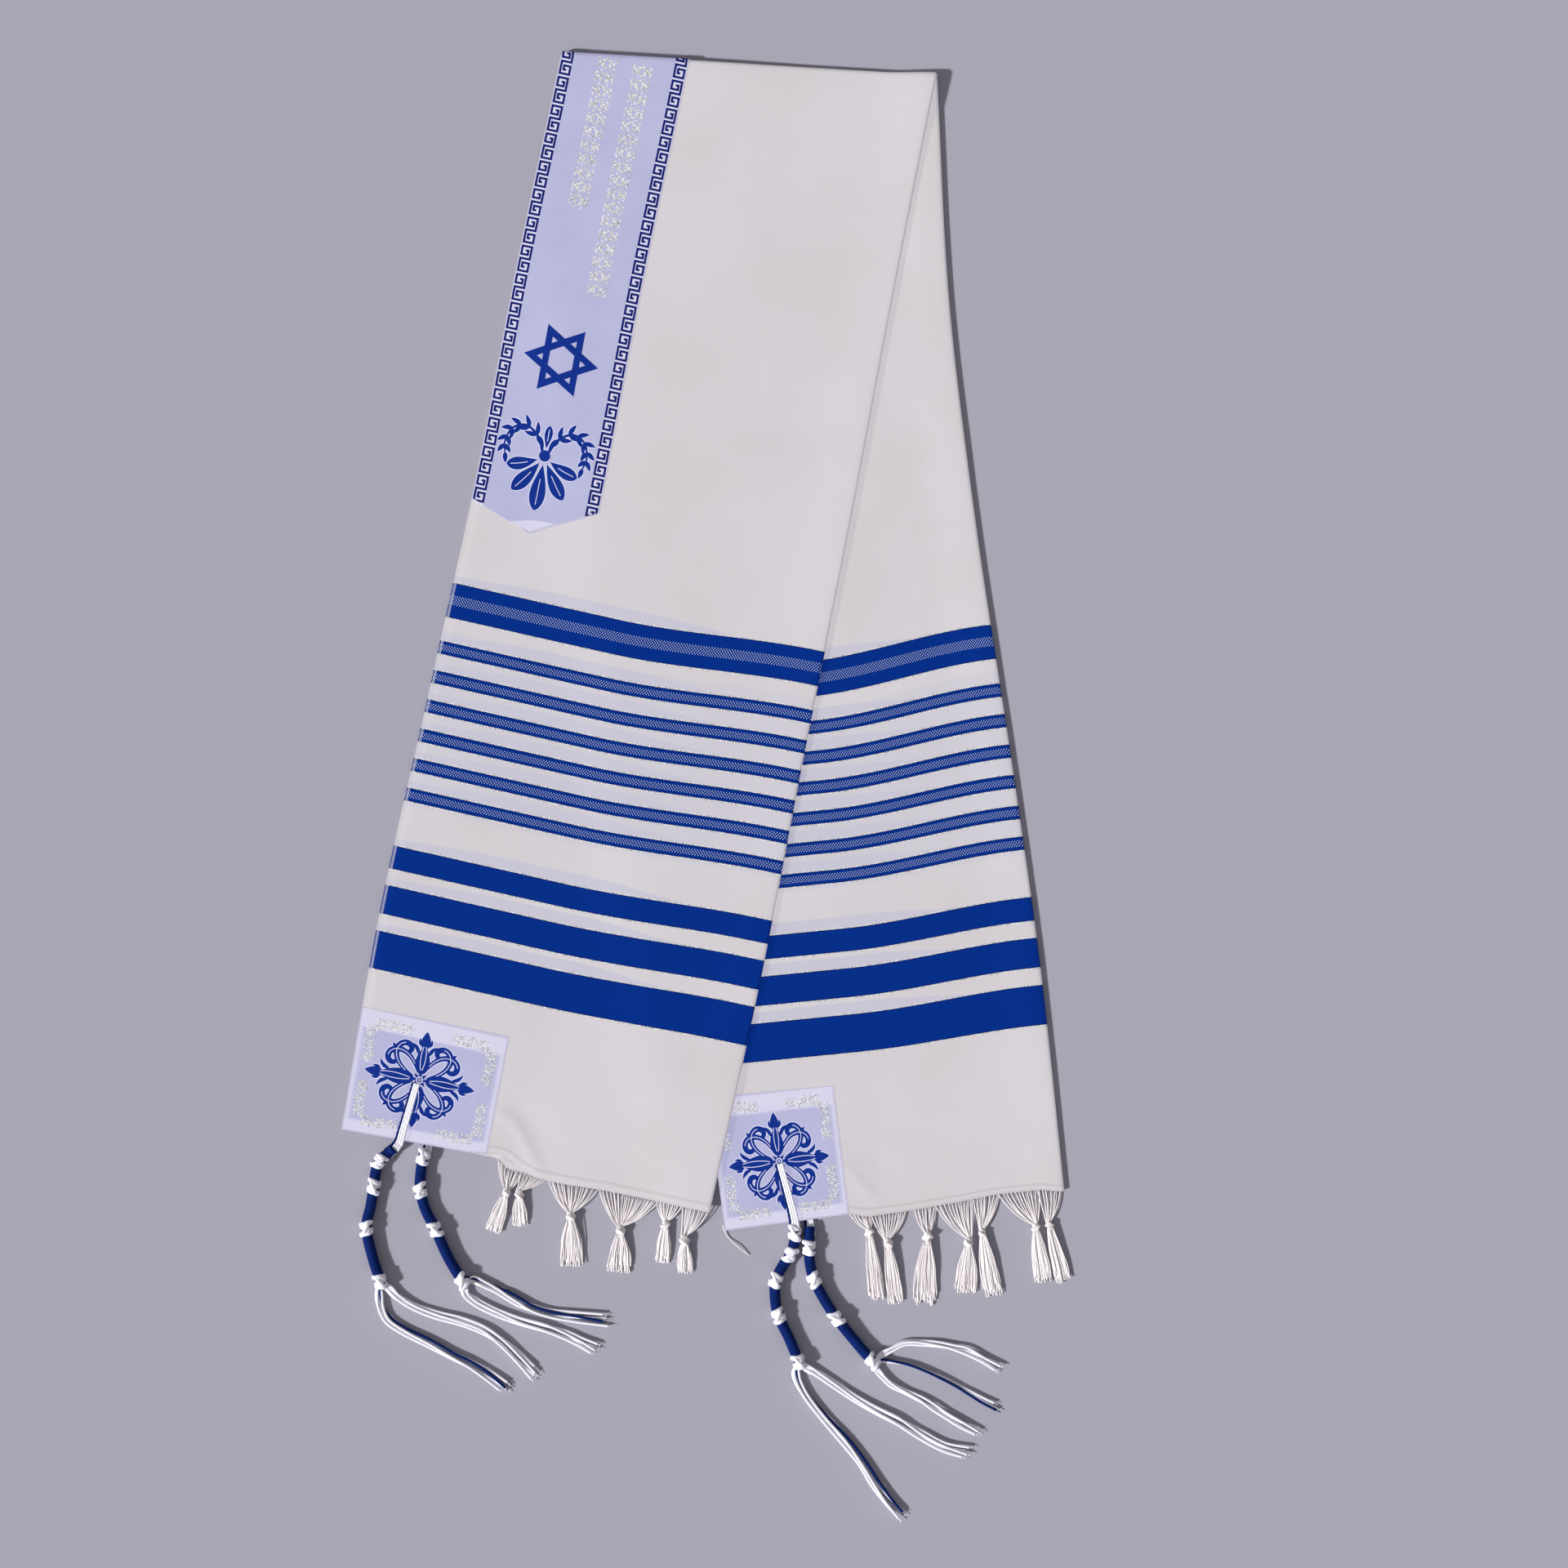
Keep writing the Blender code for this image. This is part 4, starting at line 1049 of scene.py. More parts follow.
def curl(centre, radius, start, sweep, tighten, line, count=24):
    """Middle line and half widths of a round loop that tightens towards its end."""
    share = np.linspace(0, 1, count)
    angle = start + sweep * share
    reach = radius * (1 - tighten * share ** 1.5)
    path = np.asarray(centre, float) + reach[:, None] * np.stack([np.cos(angle), np.sin(angle)], axis=-1)
    return path, 0.5 * line * np.clip(3.2 * np.sin(math.pi * (0.06 + 0.88 * share)), 0.3, 1.0)


VINE_PITCH = 11.4 * MM
VINE_LINE = 1.25 * MM


def vine(work, across, length, sign):
    """A row of open silver lozenges between pairs of curls, with beads, along the band from the fold."""
    for k in range(int(length / VINE_PITCH)):
        travel = sign * (6 * MM + k * VINE_PITCH)
        if sign < 0:
            travel -= TURN_LENGTH
        rise = np.linspace(-1, 1, 13)
        for side in (-1, 1):
            bulge = np.stack([across + side * 2.5 * MM * (1 - rise ** 2), travel + 4.4 * MM * rise], axis=-1)
            work.stroke(bulge, 0.5 * VINE_LINE)
            for turn in (-1, 1):
                middle = (across + side * 5.6 * MM, travel + turn * 2.6 * MM)
                start = math.pi * (side > 0) - side * turn * 0.4
                work.stroke(*curl(middle, 2.5 * MM, start, side * turn * 5.2, 0.65, VINE_LINE))
            work.stroke(*disc((across + side * 3.2 * MM, travel + 0.5 * VINE_PITCH), 0.9 * MM, 6))


MEDALLION = {"front": (54.2 * MM, 51.5 * MM), "back": (54.8 * MM, 50.0 * MM)}
MEDALLION_REACH = (44.0 * MM, 39.5 * MM)
TIP_LEAF = 15 * MM
# Leaflets of a medallion's arm, in millimetres: x, distance below the tip, lean, length, width, bend
LEAFLETS = ((4.5, 19, 0.1, 11, 3.0, -1.3), (2.6, 12, 0.9, 7, 2.2, 1.4))


def medallion(blue, pale, vein, centre):
    """Four pointed leaves and four pairs of scrolls round a small rosette."""
    def put(made, angle, flip, outline=OUTLINE, veined=None):
        path, half = made
        placed = turned(turned(path, 0, (0, 0), flip), angle, centre)
        blue.stroke(placed, half)
        if outline:
            pale.stroke(placed, half + outline)
        if veined:
            vein.stroke(placed[slice(*veined)], np.minimum(VEIN, 0.4 * half)[slice(*veined)])
    for quarter in range(4):
        angle = quarter * math.pi / 2
        reach = MEDALLION_REACH[1 - quarter % 2]
        wide = (11.5 + 1.5 * (quarter % 2)) * MM
        put(leaf((0, 4 * MM), math.pi / 2, reach - TIP_LEAF, wide), angle, False)
        put(leaf((0, reach - TIP_LEAF), math.pi / 2, TIP_LEAF, 7.5 * MM), angle, False)
        for flip in (False, True):
            put(volute((2.5 * MM, 7 * MM), math.pi / 2 - 0.52, 50 * MM, 1.2, 4.8 * MM, -1), angle, flip,
                veined=(3, 22))
            for x, below, lean, length, width, bend in LEAFLETS:
                root = (x * MM, reach - below * MM)
                put(leaf(root, math.pi / 2 - lean, length * MM, width * MM, bend), angle, flip)
            path, _ = leaf((0.6 * MM, 8 * MM), math.pi / 2 - 0.24, reach - 20 * MM, 1.0 * MM, 0.48)
            vein.stroke(turned(turned(path, 0, (0, 0), flip), angle, centre), VEIN)
    for k in range(4):
        angle = math.pi / 4 + k * math.pi / 2
        put(leaf((0, 27 * MM), math.pi / 2, 9 * MM, 4.2 * MM), angle, False)
    for k in range(8):
        put(leaf((0, 1.0 * MM), math.pi / 2, 5.5 * MM, 2.0 * MM), k * math.pi / 4, False, 0.0)
    around = np.arange(20) * math.pi / 10
    ring = np.stack([np.cos(around), np.sin(around)], axis=-1) * 2.4 * MM
    vein.stroke(ring + centre, 0.45 * MM, closed=True)


SCROLL_INSET = 10.5 * MM
SCROLL_PITCH = 9.8 * MM
SCROLL_LINE = 1.0 * MM
SCROLL_SIZES = (1.0, 0.95, 0.9)
# Loops of a scroll: radius in millimetres, start and sweep in radians, tightening
SCROLL_LOOPS = ((4.3, -2.4, 5.6, 0.35), (2.3, -2.0, 7.4, 0.7))
# Its leaves: x and y from the loops' middle in millimetres, heading, length, width, bend
SCROLL_LEAVES = ((3.2, -2.2, 0.5, 5.4, 1.5, 0.9), (3.4, -2.0, -0.7, 3.6, 1.3, -0.8))


def corner_scrolls(work, width, deep):
    """Silver filigree along both arms of each corner: round loops in doubled thread, with beads."""
    corners = ((0, 0, 1, 1), (width, 0, -1, 1), (0, deep, 1, -1), (width, deep, -1, -1))
    for corner_x, corner_y, sx, sy in corners:
        for along_x in (True, False):
            for k, size in enumerate(SCROLL_SIZES):
                side = -1 if k % 2 else 1
                middle = ((k + 0.62) * SCROLL_PITCH, side * 0.9 * MM)
                shapes = [curl(middle, radius * MM * size, side * begin, side * sweep, tighten, SCROLL_LINE)
                          for radius, begin, sweep, tighten in SCROLL_LOOPS]
                shapes += [leaf((middle[0] + x * MM, side * y * MM), heading * side, length * MM, wide * MM,
                                bend * side, 8) for x, y, heading, length, wide, bend in SCROLL_LEAVES]
                shapes.append(disc((middle[0] + 5.2 * MM, side * 3.6 * MM), 0.8 * MM, 6))
                for shape, wide in shapes:
                    spot = shape if along_x else shape[:, ::-1]
                    corner = [corner_x + sx * SCROLL_INSET, corner_y + sy * SCROLL_INSET]
                    work.stroke(spot * [sx, sy] + corner, wide)


# Threads and cords

PLY_DENT = 0.17
CORD_STEP = 0.9 * MM
CORD_PITCH = 4.5 * MM


class Threads:
    """Round threads gathered into one mesh for each material."""

    def __init__(self):
        self.parts = {}

    def tube(self, path, radius, sides, key="white"):
        """A round tube along a path, with one radius or one for each point and side."""
        path = np.asarray(path, float)
        count = len(path)
        tangent = unit(np.gradient(path, axis=0))
        side = unit(np.cross(tangent, UP) + 1e-9)
        top = np.cross(side, tangent)
        angle = np.arange(sides) * 2 * math.pi / sides
        radius = np.broadcast_to(np.asarray(radius, float), (count,)) if np.ndim(radius) < 2 else radius
        if np.ndim(radius) == 1:
            radius = np.repeat(radius[:, None], sides, axis=1)
        ring = side[:, None] * np.cos(angle)[None, :, None] + top[:, None] * np.sin(angle)[None, :, None]
        points = path[:, None] + ring * radius[..., None]
        points[..., 2] = np.maximum(points[..., 2], GROUND_GAP)
        verts, faces = self.parts.setdefault(key, ([], []))
        start = sum(len(block) for block in verts)
        verts.append(points.reshape(-1, 3))
        index = start + np.arange(count * sides).reshape(count, sides)
        around = np.roll(index, -1, axis=1)
        quads = np.stack([index[:-1], around[:-1], around[1:], index[1:]], axis=-1).reshape(-1, 4)
        faces.extend(quads.tolist())
        faces.append(index[0][::-1].tolist())
        faces.append(index[-1].tolist())

    def cord(self, path, radius, pitch, key="white", phase=0.0):
        """A cord of two plies: a tube whose slightly waisted section turns along it."""
        path = resample(path, CORD_STEP)
        sides = 10
        travel = np.arange(len(path))[:, None] * CORD_STEP
        turn = 2 * math.pi * (np.arange(sides)[None, :] / sides - travel / pitch) + phase
        self.tube(path, radius * (1 - PLY_DENT * (0.5 + 0.5 * np.cos(2 * turn))), sides, key)

    def finish(self, name, materials):
        """One object with a material for each kind of thread."""
        verts = []
        faces = []
        slots = []
        for slot, (key, (blocks, quads)) in enumerate(self.parts.items()):
            shift = sum(len(block) for block in verts)
            verts.extend(blocks)
            faces.extend([[index + shift for index in face] for face in quads])
            slots.extend([slot] * len(quads))
        keys = list(self.parts)
        obj = new_mesh_object(name, np.concatenate(verts), faces, materials[keys[0]])
        for key in keys[1:]:
            obj.data.materials.append(materials[key])
        obj.data.polygons.foreach_set("material_index", slots)
        return obj


def resample(path, step):
    path = np.asarray(path, float)
    lengths = np.concatenate([[0], np.cumsum(np.linalg.norm(np.diff(path, axis=0), axis=1))])
    count = max(3, round(lengths[-1] / step) + 1)
    at = np.linspace(0, lengths[-1], count)
    return np.stack([np.interp(at, lengths, path[:, k]) for k in range(3)], axis=-1)


def curve_through(points, count):
    return catmull(np.asarray(points, float), np.linspace(0, 1, count))


KNOT_STRANDS = 4
KNOT_LOBES = 2
KNOT_SWELL = 0.22


def knot(threads, centre, along, radius, length, strand, turn):
    """A lumpy knot: strands side by side that wind twice round the cord while they run up and down it."""
    t = np.linspace(0, 2 * math.pi, 56)
    along = unit(along)
    side = unit(np.cross(along, UP))
    top = np.cross(side, along)
    reach = radius * (1 + KNOT_SWELL * np.cos(KNOT_LOBES * t))
    line = (side * (reach * np.cos(2 * t + turn))[:, None]
            + top * (0.9 * reach * np.sin(2 * t + turn))[:, None]
            + along * (0.5 * length * np.sin(KNOT_LOBES * t))[:, None])
    tangent = unit(np.gradient(line, axis=0))
    outward = unit(line)
    beside = unit(np.cross(tangent, outward))
    for k in range(KNOT_STRANDS):
        shift = (k - 0.5 * (KNOT_STRANDS - 1)) * 1.6 * strand
        threads.tube(centre + line + beside * shift, strand, 8)


# Plump bights of a cord knot: place along it and slant
KNOT_BIGHTS = ((-3.9 * MM, 0.32), (0.1 * MM, -0.35), (4.1 * MM, 0.25))
BIGHT_REACH = 3.35 * MM
BIGHT_RADIUS = 2.25 * MM


def cord_knot(threads, centre, along, flip):
    """A double knot of plump cord: three bights that slant over each other, and one that runs over them."""
    along = unit(along)
    side = unit(np.cross(along, UP))
    t = np.linspace(0, 2 * math.pi, 29)
    for place, slant in KNOT_BIGHTS:
        slant = flip * (slant + RANDOM.uniform(-0.15, 0.15))
        reach = BIGHT_REACH * RANDOM.uniform(0.94, 1.06)
        ring = side * (reach * np.cos(t))[:, None] + UP * (0.88 * reach * np.sin(t))[:, None]
        ring = ring + along * (place + reach * slant * np.cos(t))[:, None]
        lumps = 1 + 0.1 * np.sin(3 * t + RANDOM.uniform(0, 6))
        threads.tube(centre + ring, BIGHT_RADIUS * lumps, 10)
    lean = flip * RANDOM.uniform(0.3, 0.7) * BIGHT_REACH
    low, high = 0.5 * BIGHT_REACH, 1.12 * BIGHT_REACH
    over = [(-5.2 * MM, -lean, low), (-3.4 * MM, -lean, high), (0, 0, high + 0.3 * MM),
            (3.0 * MM, lean, high), (4.8 * MM, lean, low)]
    route = [centre + along * a + side * b + UP * c for a, b, c in over]
    threads.tube(curve_through(route, 15), 0.85 * BIGHT_RADIUS, 10)


FLOOR_GAP = 0.3 * MM
GROUND_GAP = 0.1 * MM
COIL_RADIUS = 4.4 * MM
KNOT_RADIUS = 5.4 * MM
BUNDLE_RADIUS = 2.0 * MM
CORD_RADIUS = 1.2 * MM
LEAD_RADIUS = 1.25 * MM
LEAD_NARROW = 1.5 * MM
LEAD_WIDE = 2.35 * MM
GROUP_STEPS = 9
GROUP_NARROW = 2.5 * MM
GROUP_WIDE = 4.4 * MM
DROP_FROM = 2.3              # row at which a corner cord begins to come down off the cloth
DROP_ROWS = 0.7              # rows that it takes to come down
FRAY_RADIUS = 0.22 * MM
FRAYS = 3
LAY_SHIFT = -FOOTPRINT_CENTRE

# Fringe tassels: name, flap, share across from and to, knot x, y, end x, y, knot and skirt width
TASSELS = (
    ("tassel_front_1", "front", 0.430, 0.488, -163.2, -328.3, -173.5, -358.5, 8.0, 13.0),
    ("tassel_front_2", "front", 0.494, 0.550, -152.5, -329.6, -151.5, -354.6, 8.0, 12.0),
    ("tassel_front_3", "front", 0.570, 0.687, -111.2, -347.4, -110.5, -386.2, 9.0, 18.0),
    ("tassel_front_4", "front", 0.705, 0.853, -71.1, -358.6, -72.4, -391.4, 9.0, 19.0),
    ("tassel_front_5", "front", 0.860, 0.915, -34.9, -353.9, -37.2, -383.6, 8.0, 11.0),
    ("tassel_front_6", "front", 0.930, 0.985, -19.7, -366.4, -19.1, -392.4, 9.0, 12.0),
    ("tassel_back_1", "back", 0.372, 0.425, 128.9, -360.5, 135.2, -412.5, 8.0, 12.0),
    ("tassel_back_2", "back", 0.437, 0.530, 144.1, -369.1, 150.5, -415.8, 9.0, 12.0),
    ("tassel_back_3", "back", 0.563, 0.618, 175.7, -363.8, 174.3, -417.1, 9.0, 18.0),
    ("tassel_back_4", "back", 0.626, 0.730, 209.0, -368.1, 206.9, -407.6, 8.5, 17.0),
    ("tassel_back_5", "back", 0.737, 0.804, 220.1, -360.2, 229.4, -409.5, 7.0, 14.0),
    ("tassel_back_6", "back", 0.812, 0.920, 263.0, -356.3, 269.7, -398.7, 7.5, 14.0),
    ("tassel_back_7", "back", 0.928, 0.985, 274.0, -354.3, 285.5, -399.0, 7.0, 12.0),
)

# Corner cords: the bound stretch as x, y and what is there, then the loose strands in groups
TZITZIT = {
    "tzitzit_front_upper": {
        "core": (
            (-234.9, -239.5, "bundle"), (-246.0, -277.0, "bundle"), (-249.5, -288.0, "bundle"),
            (-256.6, -295.1, "coil"), (-264.3, -302.2, "knot"), (-267.8, -311.5, "coil"),
            (-269.1, -322.4, "knot"), (-271.7, -338.5, "coil"), (-275.0, -355.9, "knot"),
            (-270.4, -378.9, "coil"), (-263.8, -398.7, "knot"),
        ),
        "groups": (
            (4, (-265.4, -408.0), (-262.5, -424.3), (-250.0, -436.8), (-225.0, -449.0), (-202.0, -461.5),
             (-182.2, -471.7), (-163.2, -485.9)),
            (4, (-257.6, -404.6), (-246.4, -414.4), (-225.0, -424.9), (-199.3, -431.5), (-176.0, -441.1),
             (-158.2, -456.2), (-140.5, -474.0)),
        ),
    },
    "tzitzit_front_under": {
        "from_edge": ("front", 0.232),
        "core": (
            (-229.2, -299.0, "knot"), (-231.6, -312.5, "coil"),
            (-231.7, -325.7, "knot"), (-227.6, -341.5, "coil"), (-219.7, -356.9, "knot"),
            (-209.9, -378.9, "coil"), (-198.0, -398.7, "knot"),
        ),
        "groups": (
            (4, (-190.5, -397.7), (-174.3, -404.6), (-159.2, -412.1), (-144.1, -420.3), (-120.3, -426.5),
             (-81.3, -430.8)),
            (4, (-196.8, -405.2), (-192.7, -412.7), (-177.0, -421.6), (-152.0, -431.2), (-126.3, -438.8),
             (-106.6, -446.7), (-91.4, -453.6)),
        ),
    },
    "tzitzit_back_upper": {
        "core": (
            (56.6, -304.3, "bundle"), (66.0, -339.0, "bundle"), (68.8, -352.5, "bundle"),
            (69.2, -359.9, "knot"), (68.6, -368.3, "coil"), (65.6, -377.3, "knot"),
            (59.4, -386.7, "coil"), (53.9, -397.9, "knot"), (53.3, -411.5, "coil"),
            (55.9, -426.3, "knot"), (64.5, -444.7, "coil"), (72.4, -463.2, "knot"),
        ),
        "groups": (
            (4, (69.9, -471.1), (72.6, -481.6), (82.2, -497.1), (100.0, -517.1), (117.8, -537.5),
             (130.3, -557.3), (142.8, -574.0), (154.3, -587.2)),
            (4, (78.5, -468.8), (92.1, -476.3), (112.5, -490.1), (132.9, -502.6), (157.9, -515.1),
             (182.9, -530.3), (208.5, -537.5)),
        ),
    },
    "tzitzit_back_under": {
        "from_edge": ("back", 0.247),
        "core": (
            (81.0, -360.6, "coil"), (80.5, -371.7, "knot"),
            (81.4, -384.7, "coil"), (84.6, -397.4, "knot"), (92.6, -413.2, "coil"),
            (102.6, -428.3, "knot"), (117.8, -447.4, "coil"), (131.6, -463.2, "knot"),
        ),
        "groups": (
            (3, (138.5, -458.6), (157.9, -449.3), (182.9, -450.3), (207.9, -455.9), (234.9, -469.7)),
            (2, (140.6, -463.2), (163.3, -467.5), (189.0, -478.0), (209.8, -489.5), (230.9, -500.4)),
            (3, (135.9, -471.1), (148.0, -482.9), (170.4, -494.7), (190.8, -507.2), (215.8, -520.4)),
        ),
    },
}


def laid(points):
    """Table places in millimetres as places in the frame."""
    return np.asarray(points, float) * MM + LAY_SHIFT


def end_edge_point(flap, across, clear=SEAM_GAP, share=0.5):
    """A place just clear of a fringed end, at this share of the strip's thickness."""
    across = np.asarray(across, float)
    one = np.ones_like(across)
    reach = np.maximum(end_reach(flap, "outer", across, one), end_reach(flap, "inner", across, one))
    flat = flat_place(flap, across, one, reach + clear)
    outer, inner = skins(flap, across, one)
    low = np.minimum(outer[..., 2], inner[..., 2])
    return with_height(flat, low + share * thickness(np.minimum(across, 1 - ROLL_REACH)))


FAN_PITCH = 1.6 * MM
FAN_LEAST = 11
FAN_SPREAD = 0.007
FAN_STEPS = 9
FAN_DROP = 0.66
FAN_DRAW = 0.36
FAN_STRAY = 0.4 * MM
SKIRT_THREADS = 68
SKIRT_LEVELS = 2.4 * MM
SKIRT_RAGGED = (-0.16, 0.05)   # how much shorter or longer a skirt's threads are, as shares of its length
THREAD_RADIUS = 0.5 * MM


def make_tassel(row):
    """Warp threads gathered from the cloth's end into a wound knot, with a loose skirt below it."""
    name, flap, across_from, across_to, knot_x, knot_y, end_x, end_y, knot_width, skirt_width = row
    threads = Threads()
    radius = 0.5 * knot_width * MM
    centre = with_height(laid((knot_x, knot_y)), 0.85 * radius + FLOOR_GAP)
    end = with_height(laid((end_x, end_y)), 0.0)
    down = unit((end - centre) * [1, 1, 0])
    side = np.cross(down, UP)
    side = side if side[0] > 0 else -side
    across_from, across_to = across_from - FAN_SPREAD, across_to + FAN_SPREAD
    ends = end_edge_point(flap, np.array([across_from, across_to]))
    fan = max(FAN_LEAST, round(np.linalg.norm(ends[1] - ends[0]) / FAN_PITCH))
    for k in range(fan):
        share = (k + RANDOM.uniform(-0.3, 0.3)) / (fan - 1)
        level = 0.25 if k % 2 else 0.75
        start = end_edge_point(flap, lerp(across_from, across_to, share), -1.0 * MM, level)
        inside = centre - down * 0.9 * radius + side * radius * 1.1 * (share - 0.5)
        inside[2] += RANDOM.uniform(-0.3, 0.3) * radius
        way = inside - start
        stray = RANDOM.uniform(-FAN_STRAY, FAN_STRAY)
        belly = start + down * FAN_DROP * (way @ down) + side * (FAN_DRAW * (way @ side) + stray)
        belly[2] = lerp(start[2], inside[2], 0.5)
        t = np.linspace(0, 1, FAN_STEPS)[:, None]
        line = (1 - t) ** 2 * start + 2 * t * (1 - t) * belly + t ** 2 * inside
        threads.tube(np.concatenate([line, [inside + down * 0.8 * radius]]), THREAD_RADIUS, 5)
    knot(threads, centre, down, 0.56 * radius, 1.15 * radius, 0.19 * radius, RANDOM.uniform(0, 6))
    threads.tube([centre - down * radius, centre, centre + down * radius], 0.55 * radius, 8)
    length = np.linalg.norm((end - centre)[:2])
    for k in range(SKIRT_THREADS):
        share = (k + 0.5) / SKIRT_THREADS + RANDOM.uniform(-0.04, 0.04)
        level = RANDOM.uniform(0, 1)
        inside = centre + down * 0.55 * radius + side * radius * 1.2 * (share - 0.5)
        inside[2] = centre[2] + (level - 0.5) * 0.9 * radius
        tip = end + side * skirt_width * MM * (share - 0.5) + down * RANDOM.uniform(*SKIRT_RAGGED) * length
        tip[2] = FLOOR_GAP + THREAD_RADIUS + level * SKIRT_LEVELS * RANDOM.uniform(0.4, 1.0)
        middle = lerp(inside, tip, 0.45) + side * skirt_width * MM * (0.14 * (share - 0.5)
                                                                     + RANDOM.uniform(-0.05, 0.05))
        middle[2] = lerp(inside[2], tip[2], 0.5)
        low = lerp(middle, tip, 0.55) + side * RANDOM.uniform(-1.0, 1.0) * MM
        low[2] = max(lerp(middle[2], tip[2], 0.7), FLOOR_GAP + THREAD_RADIUS)
        threads.tube(curve_through([inside, middle, low, tip], 15), THREAD_RADIUS, 5)
    return threads.finish(name + "_threads", {"white": FRINGE})


def core_path(rows):
    """Points and kinds of the bound stretch, and the middle line through them at each height."""
    core = [(laid((x, y)), kind) for x, y, kind in rows["core"]]
    if "from_edge" in rows:
        flap, across = rows["from_edge"]
        edge = end_edge_point(flap, across)[:2]
        ahead = unit(HEM[flap][-1] - HEM[flap][-2])
        core = [(edge, "bundle"), (edge + ahead * 1.5 * BUNDLE_RADIUS, "bundle")] + core
    radii = {"bundle": BUNDLE_RADIUS, "coil": COIL_RADIUS, "knot": KNOT_RADIUS}
    count = 16 * (len(core) - 1) + 1
    flat = curve_through([point for point, _ in core], count)
    place = np.linspace(0, len(core) - 1, count)
    sizes = np.interp(place, np.arange(len(core)), [radii[kind] for _, kind in core])
    height = sizes + FLOOR_GAP
    if "from_edge" not in rows:
        high = PIECE_LIFT + STRIP + PIECE_LIFT + SEAM_GAP
        height = np.maximum(height, sizes + high * (1 - smooth((place - DROP_FROM) / DROP_ROWS)))
    return core, place, with_height(flat, height)


WINDING = 1.6 * MM
RIDGE = 0.5 * MM


def coil(threads, path, key):
    """Cord wound closely round a core: a tube whose skin has the ridges of the helix."""
    step = 0.23 * MM
    path = resample(path, step)
    sides = 18
    travel = np.arange(len(path))[:, None] * step
    phase = travel / WINDING + np.arange(sides)[None, :] / sides
    ridge = np.sqrt(np.maximum(1 - (2 * (phase % 1.0) - 1) ** 2, 0.0))
    threads.tube(path, COIL_RADIUS - RIDGE + RIDGE * ridge, sides, key)


def make_tzitzit(name, rows):
    """A corner cord: strands out of the corner hole, wound and knotted stretch, then eight loose cords."""
    threads = Threads()
    core, place, path = core_path(rows)
    bundles = sum(kind == "bundle" for _, kind in core)
    wound = path[place >= bundles - 0.6]
    lead = path[place <= bundles + 0.2]
    coil(threads, wound, "blue")
    tangent = unit(np.gradient(lead, axis=0))
    side = unit(np.cross(tangent, UP))
    grow = np.linspace(LEAD_NARROW, LEAD_WIDE, len(lead))[:, None]
    for k in range(4):
        key = "blue" if k == 0 else "white"
        shift = side * grow * (1.5 - k)
        threads.cord(lead + shift - UP * 0.5 * MM * (k == 0), LEAD_RADIUS, 2 * CORD_PITCH, key, k)
    for k, (point, kind) in enumerate(core):
        if kind != "knot":
            continue
        at = int(np.argmin(np.abs(place - k)))
        ahead = path[min(at + 2, len(path) - 1)] - path[at - 2]
        centre = path[at].copy()
        centre[2] += 0.2 * MM
        cord_knot(threads, centre, ahead * [1, 1, 0], 1 if k % 4 < 2 else -1)
    last = path[-1]
    onward = unit(last - path[-3])
    number = 0
    for amount, *points in rows["groups"]:
        route = curve_through(laid(points), GROUP_STEPS)
        heading = unit(route[0] - last[:2])
        twist = RANDOM.uniform(1.6, 3.0)
        for k in range(amount):
            line = []
            for step, point in enumerate(route):
                share = step / (GROUP_STEPS - 1)
                ahead = unit(route[min(step + 1, GROUP_STEPS - 1)] - route[max(step - 1, 0)])
                turn = 2 * math.pi * (k + 0.3) / amount + twist * share
                half = lerp(GROUP_NARROW, GROUP_WIDE, share ** 2) * amount / 4
                wander = RANDOM.uniform(-0.5, 0.5) * MM if step else 0.0
                spot = point + ahead[::-1] * [-1, 1] * (half * math.cos(turn) + wander)
                if share == 1:
                    spot = spot + ahead * RANDOM.uniform(-5.0, 2.0) * MM
                height = CORD_RADIUS * (1.9 + 0.9 * math.sin(turn)) + FLOOR_GAP
                height = lerp(0.6 * last[2], height, smooth(np.float64(4 * share)))
                line.append(with_height(spot, height))
            first = last[:2] + heading[::-1] * [-1, 1] * (k - (amount - 1) / 2) * 1.6 * CORD_RADIUS
            line.insert(0, with_height(first, last[2]))
            key = "blue" if (number + k) == 3 else "white"
            strand = curve_through(line, 80)
            threads.cord(strand, CORD_RADIUS, CORD_PITCH, key, RANDOM.uniform(0, 6))
            ahead = unit(strand[-1] - strand[-3])
            across = np.cross(ahead, UP)
            for _ in range(FRAYS):
                tip = strand[-1] + ahead * RANDOM.uniform(1.5, 4.0) * MM
                tip = tip + across * RANDOM.uniform(-1.6, 1.6) * MM
                threads.tube([strand[-1], lerp(strand[-1], tip, 0.5), tip], FRAY_RADIUS, 4, key)
        number += amount
    threads.tube([last, last + onward * 0.4 * KNOT_RADIUS], 0.5 * KNOT_RADIUS, 8)
    return threads.finish(name + "_cords", {"white": CORD_WHITE, "blue": CORD_BLUE})


FRINGE = thread_material("fringe_thread", rgb(250, 243, 244), rgb(240, 232, 235), 0.9)
CORD_WHITE = thread_material("white_cord", rgb(250, 249, 255), rgb(243, 241, 252), 0.85)
CORD_BLUE = thread_material("blue_cord", rgb(2, 38, 112), rgb(0, 24, 84), 0.85)


# A sewing thread left hanging from the back patch's corner: x, y and height, in millimetres
LOOSE_THREAD = ((11.2, -354.0, 1.6), (12.4, -358.5, 1.4), (16.2, -364.8, 0.8), (23.4, -371.6, 2.2),
                (32.2, -378.4, 0.7))


def make_loose_thread():
    threads = Threads()
    rows = np.array(LOOSE_THREAD)
    line = with_height(laid(rows[:, :2]), rows[:, 2] * MM)
    threads.cord(curve_through(line, 30), THREAD_RADIUS, 3.0 * MM)
    return threads.finish("loose_thread", {"white": FRINGE})


# Stage, light and camera

